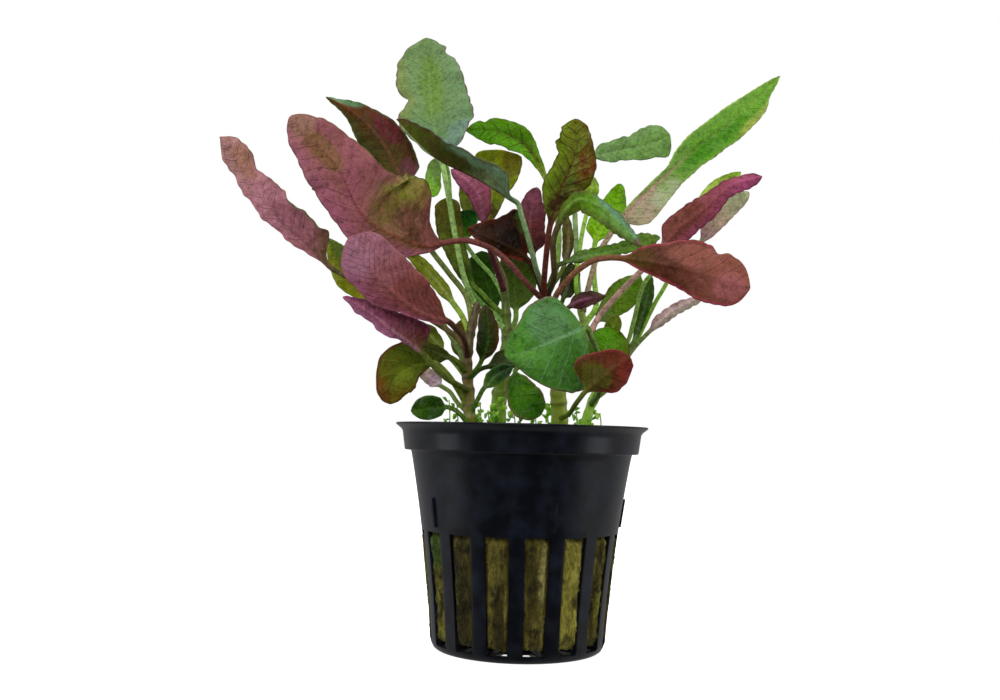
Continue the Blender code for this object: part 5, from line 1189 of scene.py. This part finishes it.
        "tints": ("#46290a", "#522618", "#98584a", "#a83450", "#4c5a1e", "#7c8a3a"),
        "left": ("#763c30", 0.45), "right": ("#5c2812", 0.4), "rimShare": 0.75, "rimWidth": 0.45,
        "vein": "#54281c", "veinShare": 0.12, "ribTint": "#84503c", "ribShare": 0.12, "marble": "#6e3c2c",
        "stalkUnder": "#7a5038",
        "patches": [(0.86, 0.25, 0.13, 0.6, "#a05c5c"), (0.14, 0, 0.14, 0.9, "#54420e"),
                    (0.55, -0.5, 0.22, 0.4, "#96584c")]},
    "leaf_thin_green": {
        "on": ("stem_middle", 288), "fold": 10, "teeth": (0.35, 1.6),
        "stalk": [(556, 268, -7)],
        "midrib": [(566, 262, -11), (580, 257, -13), (605, 252, -14), (630, 246, -14), (660, 237, -13)],
        "spans": [(0, 0.7, 0.7), (0.2, 1.3, 1.3), (0.55, 1.3, 1.3), (0.8, 2, 1.8), (1, 0.5, 0.5)],
        "tints": ("#4c6824", "#70a034", "#5c7c20", "#3a3a12", "#6a5a44", "#5a6a34"), "vein": "#7a945a",
        "ribTint": "#809a60", "marble": "#3a5818", "marbleShare": 0.4},
    "leaf_green_right": {
        "on": ("stem_right", 342), "shows": "under",
        "stalk": [(592, 333, 6)],
        "midrib": [(596, 322, 9), (608, 308, 12), (622, 295, 13), (641, 276, 14)],
        "spans": [(0, 0.8, 0.8), (0.3, 2, 2.8), (0.6, 3.4, 3.8), (0.85, 2.6, 3.2), (1, 0.8, 0.8)],
        "tints": ("#648038", "#6c9018", "#58800c", "#5c4420", "#4a7a1a", "#8a8a4a"), "vein": "#7a944a",
        "ribTint": "#88a05a"},
    "leaf_thin_right": {
        "on": ("stem_right", 400), "fold": 10, "shows": "under", "teeth": (0.3, 2),
        "stalk": [(610, 386, 4), (631, 352, 6)],
        "midrib": [(649, 332, 7), (665, 317, 7), (680, 307, 7), (704, 298, 6)],
        "spans": [(0, 0.5, 0.5), (0.25, 1.6, 1.2), (0.6, 1.3, 1.3), (0.85, 0.9, 0.9), (1, 0.3, 0.3)],
        "tints": ("#8e7862", "#c8a8a4", "#d8b8b0", "#9a4a7a", "#88a068", "#8a9a50"),
        "right": ("#a2ba78", 0.6), "vein": "#b89a98"},
    "leaf_front_round": {
        "on": ("stem_right", 404), "curl": -10, "opening": 0.08, "ruffle": (0.4, 11), "quilt": 0.2,
        "stalk": [(600, 392, -8), (602, 370, -12), (597, 350, -16), (591, 336, -21)],
        "midrib": [(585, 327, -24), (569, 334, -26), (550, 342, -27), (530, 350, -27), (505, 356, -26)],
        "spans": [(0, 1, 1), (0.06, 2.6, 2.4), (0.14, 5.4, 5.4), (0.22, 9, 7.9), (0.32, 11.2, 8.5),
                  (0.45, 11, 8.6), (0.6, 9.4, 7.7), (0.75, 6, 5.8), (0.9, 2.6, 3.8), (1, 0.9, 1.8)],
        "tints": ("#588840", "#3e7424", "#5a9a2c", "#6c3c34", "#7a6a60", "#6a8a34"),
        "left": ("#2c540e", 0.7), "right": ("#4a7c30", 0.4), "rimShare": 0.6, "rimWidth": 0.3,
        "vein": "#6a9c68", "veinShare": 0.22, "ribTint": "#84b080", "ribShare": 0.45, "veinGap": 4.2,
        "marble": "#315e1c", "marbleShare": 0.5, "wet": 0.35,
        # the first patch, a lighter blue-grey green on the upper half, is a painted sheen
        "patches": [(0.42, 0.45, 0.24, 0.5, "#5e8c54"), (0.28, -0.5, 0.12, 0.5, "#35660f")]},
    "leaf_bright_round": {
        "on": ("stem_right", 396), "fold": 4,
        "stalk": [(601, 386, -2)],
        "midrib": [(602, 376, -3), (604, 358, -3.5), (607, 342, -3.5), (608, 327, -3.5)],
        "spans": [(0, 0.8, 0.8), (0.3, 4, 5.2), (0.6, 4.6, 5.2), (0.85, 3.4, 3.6), (1, 1.4, 1.4)],
        "tints": ("#4a400c", "#4e7408", "#5aa008", "#4a1c14", "#7a5a40", "#8ab83e"),
        "left": ("#355c06", 0.5), "right": ("#5c3a0c", 0.4), "rimShare": 0.7, "vein": "#7aa02c",
        "ribTint": "#80a83a", "marble": "#5aa008"},
    "leaf_maroon_low": {
        "on": ("stem_middle", 420), "curl": 6, "shows": "under", "opening": 0.08,
        "stalk": [(569, 414, -12), (575, 405, -19), (581, 397, -26)],
        "midrib": [(586, 391, -30), (598, 381, -32), (611, 371, -33), (630, 357, -33)],
        "spans": [(0, 0.7, 0.7), (0.06, 3.4, 1.1), (0.12, 5.1, 1.5), (0.3, 5.8, 2.9), (0.5, 5.1, 3.8),
                  (0.7, 4, 3.7), (0.88, 2.6, 2.6), (1, 1.1, 1.4)],
        "tints": ("#444c0c", "#5c3012", "#6c301c", "#8a1c34", "#48581c", "#7a8a34"),
        "left": ("#481808", 0.4), "right": ("#6a2018", 0.4), "rimShare": 0.7, "rimWidth": 0.4,
        "ribTint": "#6a5a1c", "ribShare": 0.2, "vein": "#4a180f", "veinShare": 0.2, "stalkUnder": "#6a7a2c",
        "patches": [(0.32, 0, 0.26, 0.65, "#4e5210"), (0.8, 0.5, 0.16, 0.5, "#7c2c24")]},
    "leaf_olive_small": {
        "on": ("stem_right", 362), "shows": "under",
        "stalk": [(603, 350, 3)],
        "midrib": [(607, 340, 4), (612, 328, 4), (618, 315, 4)],
        "spans": [(0, 0.6, 0.6), (0.4, 1.8, 2), (0.8, 1.4, 1.6), (1, 0.4, 0.4)],
        "tints": ("#60980f", "#6c9008", "#6a7810", "#8a7a4a", "#5a8a1c", "#8ab83e"), "vein": "#8aa040"},
    "leaf_dark_centre": {
        "on": ("stem_left", 380), "turn": (-25, -25),
        "stalk": [(475, 371, -8)],
        "midrib": [(481, 362, -9), (487, 345, -10), (488, 325, -10), (485, 305, -9)],
        "spans": [(0, 0.7, 0.7), (0.3, 2.6, 2.2), (0.65, 2.6, 2.4), (0.88, 1.6, 1.4), (1, 0.4, 0.4)],
        "tints": ("#203003", "#1e3002", "#363a08", "#5a2a24", "#5a3a30", "#4a6a1c"),
        "right": ("#4a2c14", 0.7), "vein": "#3e5c18", "ribTint": "#46641c", "wet": 0.35},
    "leaf_dark_left": {
        "on": ("stem_left", 384),
        "stalk": [(463, 370, 2)],
        "midrib": [(461, 358, 6), (459, 345, 7), (460, 332, 7), (461, 320, 7)],
        "spans": [(0, 0.6, 0.6), (0.4, 1.8, 1.8), (0.8, 1.4, 1.4), (1, 0.4, 0.4)],
        "tints": ("#304604", "#706c18", "#74641c", "#5a4a1e", "#5a6a30", "#6a8a2c"), "vein": "#6a8a30"},
    "leaf_low_front": {
        "on": ("stem_middle", 378), "curl": -6,
        "stalk": [(540, 369, -10), (524, 366, -15)],
        "midrib": [(515, 371, -17), (518, 386, -18), (526, 400, -18), (541, 415, -17)],
        "spans": [(0, 0.7, 0.7), (0.15, 2.2, 2), (0.38, 3.2, 3), (0.64, 3.6, 3.8), (0.85, 2.8, 2.8),
                  (1, 1.2, 1.2)],
        "tints": ("#284604", "#4a8a10", "#306a08", "#7a5c44", "#6a4a3c", "#5a7a2c"),
        "right": ("#345a06", 0.6), "left": ("#5c9420", 0.5), "rimShare": 0.75, "rimWidth": 0.4,
        "vein": "#5a8a24", "ribTint": "#5c8a2c", "ribShare": 0.25, "wet": 0.35,
        "patches": [(0.5, -0.3, 0.18, 0.4, "#568c14")]},
    "leaf_dark_low": {
        "on": ("stem_left", 377), "turn": (180, 180),
        "stalk": [(479, 370, -4)],
        "midrib": [(487, 367, -4), (502, 364, -5), (522, 361, -7)],
        "spans": [(0, 0.6, 0.6), (0.35, 1.3, 2.8), (0.75, 1.3, 3.2), (1, 0.5, 0.5)],
        "tints": ("#202c04", "#183804", "#3c5414", "#7a5a4a", "#4a5a2a", "#4a6a24"), "vein": "#5a7a30"},
    "leaf_blue_low": {
        "on": ("stem_left", 412),
        "stalk": [(478, 399, -8)],
        "midrib": [(484, 388, -10), (496, 375, -12), (513, 366, -13)],
        "spans": [(0, 0.6, 0.6), (0.4, 1.6, 1.8), (0.75, 1.5, 1.6), (1, 0.4, 0.4)],
        "tints": ("#547a1a", "#2c5014", "#1c3c14", "#54804a", "#5a7a4a", "#5a7a34"), "vein": "#62906a"},
    "leaf_back_centre_left": {
        "on": ("stem_back", 338),
        "stalk": [(500, 322, 11)],
        "midrib": [(496, 311, 12), (490, 293, 12.5), (484, 273, 12.5), (481, 251, 12.5)],
        "spans": [(0, 0.8, 0.8), (0.1, 2.4, 1.6), (0.3, 4.2, 2.2), (0.62, 4.6, 2.5), (0.86, 3.4, 2.5),
                  (1, 1, 1)],
        "tints": ("#205006", "#365c06", "#2c4c04", "#3a5a1c", "#3c5a24", "#5a8a2c"), "vein": "#3c6a18",
        "ribTint": "#4a7420"},
    "leaf_back_centre_right": {
        "on": ("stem_back", 334),
        "stalk": [(515, 322, 14)],
        "midrib": [(516, 311, 18), (515, 292, 21), (513, 272, 22), (511, 250, 22)],
        "spans": [(0, 0.8, 0.8), (0.1, 2.6, 2.8), (0.3, 4.2, 4.8), (0.62, 4, 5.6), (0.86, 2.8, 3.8),
                  (1, 0.9, 1.1)],
        "tints": ("#4c6610", "#46620c", "#3c3e08", "#5a2a1c", "#4a4a24", "#6a8a2c"), "vein": "#4f7020",
        "ribTint": "#5a7424"},
    "leaf_back_dark": {
        "on": ("stem_back", 316),
        "stalk": [(490, 302, 5), (481, 292, 5)],
        "midrib": [(474, 286, 5), (463, 268, 6), (454, 245, 7), (449, 222, 7), (447, 198, 7)],
        "spans": [(0, 0.7, 0.7), (0.15, 2, 1.8), (0.4, 2.4, 2.4), (0.65, 3.1, 3), (0.9, 3, 3),
                  (1, 1.4, 1.6)],
        "tints": ("#2c5606", "#66761c", "#68641a", "#3a2a10", "#4a6a28", "#6a8a2c"), "vein": "#4a5c18",
        "ribTint": "#4c5c1c", "marble": "#443812", "marbleShare": 0.5},
    "leaf_lime_left": {
        "on": ("stem_left", 334), "fold": 10,
        "stalk": [(462, 316, -1)],
        "midrib": [(453, 303, 0), (440, 285, 1), (422, 265, 1), (403, 250, 0)],
        "spans": [(0, 0.8, 0.8), (0.3, 1.7, 1.5), (0.7, 1.6, 1.4), (1, 0.4, 0.4)],
        # its bright lime tints are partly its own colour and partly painted backlight glow
        "tints": ("#6e7c18", "#a0b030", "#a0a818", "#5f6a1c", "#7a7a3a", "#86a23a"), "vein": "#94a04c"},
    "leaf_back_small": {
        "on": ("stem_back", 294),
        "stalk": [(492, 276, 9.5), (474, 256, 10.6), (458, 230, 11.5), (451, 205, 11.5), (448, 172, 11)],
        "midrib": [(441, 157, 11), (436, 166, 11), (433, 180, 11), (433, 197, 11)],
        "spans": [(0, 0.7, 0.7), (0.3, 1.7, 1.8), (0.75, 1.9, 1.9), (1, 0.9, 0.9)],
        "tints": ("#86a854", "#a8dc64", "#98e024", "#5a8a3c", "#80a060", "#8ab85a"), "vein": "#98c070"},
    "leaf_green_heart": {
        "on": ("stem_back", 322),
        "stalk": [(482, 304, 9), (464, 280, 9), (463, 256, 9)],
        "midrib": [(466, 239, 9), (467, 226, 9), (465, 210, 9)],
        "spans": [(0, 0.8, 0.8), (0.3, 1.7, 1.8), (0.65, 2.9, 2.7), (0.9, 2.5, 2.4), (1, 1.1, 1.1)],
        "tints": ("#6c9020", "#206804", "#124004", "#2c6420", "#3a6a2a", "#86b85a"), "vein": "#2f7018",
        "ribTint": "#34701c", "wet": 0.35},
    "leaf_narrow_centre": {
        "on": ("stem_middle", 288), "fold": 10, "shows": "under",
        "stalk": [(559, 276, 0)],
        "midrib": [(565, 263, 1), (568, 247, 2), (568, 230, 2), (566, 213, 2)],
        "spans": [(0, 0.6, 0.6), (0.3, 1.3, 1.1), (0.7, 1.3, 1.2), (1, 0.4, 0.4)],
        "tints": ("#5a5a1c", "#5c4c18", "#6a6a24", "#4a3a14", "#5a6a24", "#6a7a2c")},
    "leaf_dark_right": {
        "on": ("stem_middle", 312), "shows": "under",
        "stalk": [(560, 305, 2)],
        "midrib": [(563, 299, 3), (567, 288, 4), (570, 276, 4), (572, 263, 4)],
        "spans": [(0, 0.7, 0.7), (0.3, 1.9, 2), (0.7, 2, 2.2), (1, 0.6, 0.6)],
        "tints": ("#3c4a12", "#30380a", "#444c14", "#3c2c14", "#4a5a20", "#5a6a24")},
    "leaf_shade_right": {
        "on": ("stem_right", 378), "fold": 10,
        "stalk": [(608, 366, 5.5), (624, 351, 7.5)],
        "midrib": [(634, 341, 7), (641, 320, 7), (647, 299, 7), (651, 276, 7)],
        "spans": [(0, 0.6, 0.6), (0.3, 1.2, 1), (0.7, 1.6, 1.4), (1, 0.5, 0.5)],
        "tints": ("#4a6a24", "#30500a", "#3c5c14", "#4a6a24", "#4a6a28", "#7aa04a")},
    "leaf_lime_low": {
        "on": ("stem_left", 378), "shows": "under",
        "stalk": [(457, 366, 0), (449, 357, 1)],
        "midrib": [(443, 351, 1), (436, 342, 1), (429, 333, 1), (423, 324, 1)],
        "spans": [(0, 0.6, 0.6), (0.3, 1.8, 1.6), (0.7, 2, 1.8), (1, 0.5, 0.5)],
        "tints": ("#7a9a2c", "#6a7c10", "#626c14", "#5a5a1c", "#6a7a2c", "#8aa84a")},
    "leaf_purple_small": {
        "on": ("stem_middle", 330), "shows": "under", "teeth": (0.3, 1.8),
        "stalk": [(560, 316, -6)],
        "midrib": [(569, 307, -6), (580, 301, -6), (592, 298, -6), (606, 296, -5)],
        "spans": [(0, 0.6, 0.6), (0.3, 1.7, 1.7), (0.7, 1.4, 1.4), (1, 0.3, 0.3)],
        "tints": ("#5c2c2c", "#5e1f38", "#56402c", "#4a1830", "#44602a", "#6a4a34"),
        "right": ("#4a5a2c", 0.3), "left": ("#44581c", 0.5), "vein": "#8a4a5a"},
}
for name, leaf in leaves.items():
    growLeaf(name, leaf)
print("leaves grown")

# Moss between the stems: small cupped leaves on the wool, some of them above the rim
moss = {
    "light": "#b4e850", "deep": "#64a826", "size": 2.1, "count": 300, "radius": 20.5, "stalk": 0.14,
    # (forward, across, lift) round one leaf, in leaf lengths
    "lobe": [(0.0, 0.12, 0.0), (0.35, 0.34, 0.05), (0.7, 0.4, 0.1), (1.0, 0.16, 0.02),
             (1.0, -0.16, 0.02), (0.7, -0.4, 0.1), (0.35, -0.34, 0.05), (0.0, -0.12, 0.0)],
    # (across, down, depth, leaves, size): tufts that stand above the rim
    "tufts": [(449, 400, -2, 8, 1.7), (457, 406, 0, 8, 1.6), (480, 402, 0, 12, 1.9), (488, 410, 2, 10, 1.9),
              (497, 408, 6, 12, 1.8), (503, 402, 2, 12, 1.7), (514, 411, 8, 9, 1.7), (535, 413, 6, 8, 1.6),
              (547, 404, 2, 12, 1.7), (552, 410, 0, 8, 1.6), (576, 409, 6, 9, 1.8), (584, 412, 3, 9, 1.8),
              (474, 411, 4, 9, 1.7), (600, 413, -4, 6, 1.8)],
}


def mossLeaf():
    # Wet moss and liverwort: thin and bright, light shines through it, in light and deep patches of 2.4 mm
    made, tree, shader = newMaterial("wetMossLeaf", {
        "Roughness": 0.45, "Specular IOR Level": 0.4, "Coat Weight": 0.2, "Coat Roughness": 0.25,
        "Subsurface Weight": 0.2, "Subsurface Radius": (0.6, 1.0, 0.2), "Subsurface Scale": 0.0006})
    spot = addNode(tree, "TexCoord", {})
    patchy = addNode(tree, "TexNoise", {"Scale": 420.0, "Detail": 3.0}, {"Vector": (spot, "Object")})
    share = addNode(tree, "MapRange", {"From Min": 0.35, "From Max": 0.65}, {0: patchy})
    green = addNode(tree, "Mix", {"data_type": "RGBA", 6: linear(moss["deep"]), 7: linear(moss["light"])},
                    {0: share})
    tree.links.new(green.outputs[2], shader.inputs["Base Color"])
    return made


def leaflet(pick, spot, size, points, faces):
    # a cupped lobe of 8 points with a second skin under it
    turn = pick.uniform(0, math.tau)
    tilt = pick.uniform(0.2, 1.2)
    along = np.array([math.cos(turn) * math.cos(tilt), math.sin(turn) * math.cos(tilt), math.sin(tilt)])
    side = unit(np.cross(along, (0.1, 0.2, 1.0)))
    up = np.cross(side, along)
    first = len(points)
    for skin in (0.05, -0.05):
        for forward, across, lift in moss["lobe"]:
            points.append(spot + size * (along * forward + side * across + up * (lift * 2 + skin)))
        points.append(spot + size * (along * 0.55 + up * (skin - 0.06)))
    for j in range(8):
        k = (j + 1) % 8
        faces.append((first + j, first + k, first + 8))
        faces.append((first + 9 + k, first + 9 + j, first + 17))
        faces.append((first + k, first + j, first + 9 + j, first + 9 + k))


def growMoss():
    pick = random.Random(5)
    points = []
    faces = []
    for i in range(moss["count"]):
        radius = moss["radius"] * math.sqrt(pick.random())
        turn = pick.uniform(0, math.tau)
        height = wool["top"] + pick.uniform(-0.2, 0.7)
        spot = np.array([radius * math.cos(turn), radius * math.sin(turn), height])
        leaflet(pick, spot, moss["size"] * pick.uniform(0.6, 1.3), points, faces)
    for across, down, depth, leaves, size in moss["tufts"]:
        top = place(across, down, depth)
        foot = np.array([top[0], top[1], wool["top"]])
        for i in range(leaves):
            share = (i + 0.6) / leaves
            spot = foot + (top - foot) * share + np.array([pick.gauss(0, 1.1), pick.gauss(0, 0.9), 0])
            leaflet(pick, spot, size * pick.uniform(0.6, 1.1), points, faces)
        way = smoothRoute([foot, (foot + top) / 2 + np.array([0.3, 0, 0]), top], 6)
        stalk, _ = tube(way, [moss["stalk"]] * 7, 5)
        first = len(points)
        points.extend(stalk)
        faces.extend(tuple(first + corner for corner in face) for face in ringFaces(7, 5))
    addPiece("moss_carpet", points, faces, mossLeaf())


growMoss()
print("moss grown")

# Studio: white floor and background, even light from all round and more from above, and four softboxes
studio = {
    "floor": "#f8f8f8", "floorGrain": "#fbfbfb", "floorSize": 8.0, "floorGlow": 0.8,
    # the world's strength: to the camera, level, added above, and in reflections in front and at the sides
    "white": 1.0, "around": 0.42, "above": 0.4, "mirror": 0.02, "wing": 0.36,
    # places and sizes in metres, and radiance; all softboxes aim at one point
    "aim": (0.0, 0.0, 0.05),
    "softboxes": {
        "softbox_left": ((-0.42, -0.12, 0.16), (0.2, 0.5), 1.6),
        "softbox_right": ((0.42, -0.12, 0.16), (0.2, 0.5), 1.6),
        "softbox_top": ((0.0, 0.02, 0.5), (0.4, 0.4), 1.6),
        "softbox_front": ((-0.1, -0.5, 0.34), (0.5, 0.4), 2.2),
    },
}


def paleFloor():
    # White painted board: matt, self-lit so that the ground stays white, in faint clouds of 33 mm
    made, tree, shader = newMaterial("paintedBoard", {
        "Roughness": 0.9, "Specular IOR Level": 0.1, "Emission Color": (1.0, 1.0, 1.0, 1.0),
        "Emission Strength": studio["floorGlow"]})
    spot = addNode(tree, "TexCoord", {})
    grain = addNode(tree, "TexNoise", {"Scale": 30.0, "Detail": 2.0}, {"Vector": (spot, "Object")})
    tone = addNode(tree, "Mix", {"data_type": "RGBA", 6: linear(studio["floor"]),
                                 7: linear(studio["floorGrain"])}, {0: grain})
    tree.links.new(tone.outputs[2], shader.inputs["Base Color"])
    return made


def layFloor():
    mesh = bpy.data.meshes.new("floor")
    shape = bmesh.new()
    bmesh.ops.create_grid(shape, x_segments=1, y_segments=1, size=studio["floorSize"] / 2)
    shape.to_mesh(mesh)
    shape.free()
    mesh.materials.append(paleFloor())
    floor = bpy.data.objects.new("floor", mesh)
    floor.location.z = -0.00002
    floor.visible_glossy = False
    floor.visible_diffuse = False
    bpy.context.scene.collection.objects.link(floor)


def lightWorld():
    world = bpy.data.worlds.new("studio")
    bpy.context.scene.world = world
    world.use_nodes = True
    tree = world.node_tree
    tree.nodes.clear()
    way = addNode(tree, "TexCoord", {})
    xyz = addNode(tree, "SeparateXYZ", {}, {0: (way, "Generated")})
    rise = addNode(tree, "MapRange", {"From Min": 0.0, "From Max": 1.0, "To Min": studio["around"],
                                      "To Max": studio["around"] + studio["above"]}, {0: (xyz, "Z")})
    ray = addNode(tree, "LightPath", {})
    # in reflections the front is black and the low sides and back are grey, as on the pot
    side = addNode(tree, "MapRange", {"From Min": -0.62, "From Max": -0.1, "To Min": studio["mirror"],
                                      "To Max": studio["wing"]}, {0: (xyz, "Y")})
    low = addNode(tree, "MapRange", {"From Min": 0.5, "From Max": 0.15, "To Min": 0.15}, {0: (xyz, "Z")})
    wing = addNode(tree, "Math", {"operation": "MULTIPLY"}, {0: side, 1: low})
    mirror = addNode(tree, "Mix", {"data_type": "FLOAT"}, {0: (ray, "Is Glossy Ray"), 2: rise, 3: wing})
    seen = addNode(tree, "Mix", {"data_type": "FLOAT", 3: studio["white"]},
                   {0: (ray, "Is Camera Ray"), 2: (mirror, 0)})
    back = addNode(tree, "Background", {"Color": (1.0, 1.0, 1.0, 1.0)}, {"Strength": (seen, 0)})
    addNode(tree, "OutputWorld", {}, {"Surface": back})


def addSoftbox(name, spot, size, radiance):
    # an area light of even radiance: its power is radiance times pi times its area
    lamp = bpy.data.lights.new(name, "AREA")
    lamp.shape = "RECTANGLE"
    lamp.size, lamp.size_y = size
    lamp.energy = radiance * math.pi * size[0] * size[1]
    made = bpy.data.objects.new(name, lamp)
    made.location = spot
    made.rotation_euler = (Vector(studio["aim"]) - Vector(spot)).to_track_quat("-Z", "Y").to_euler()
    bpy.context.scene.collection.objects.link(made)


def lightStudio():
    lightWorld()
    for name, settings in studio["softboxes"].items():
        addSoftbox(name, *settings)
    bpy.context.scene.view_settings.view_transform = "Standard"


layFloor()
lightStudio()
print("studio lit")
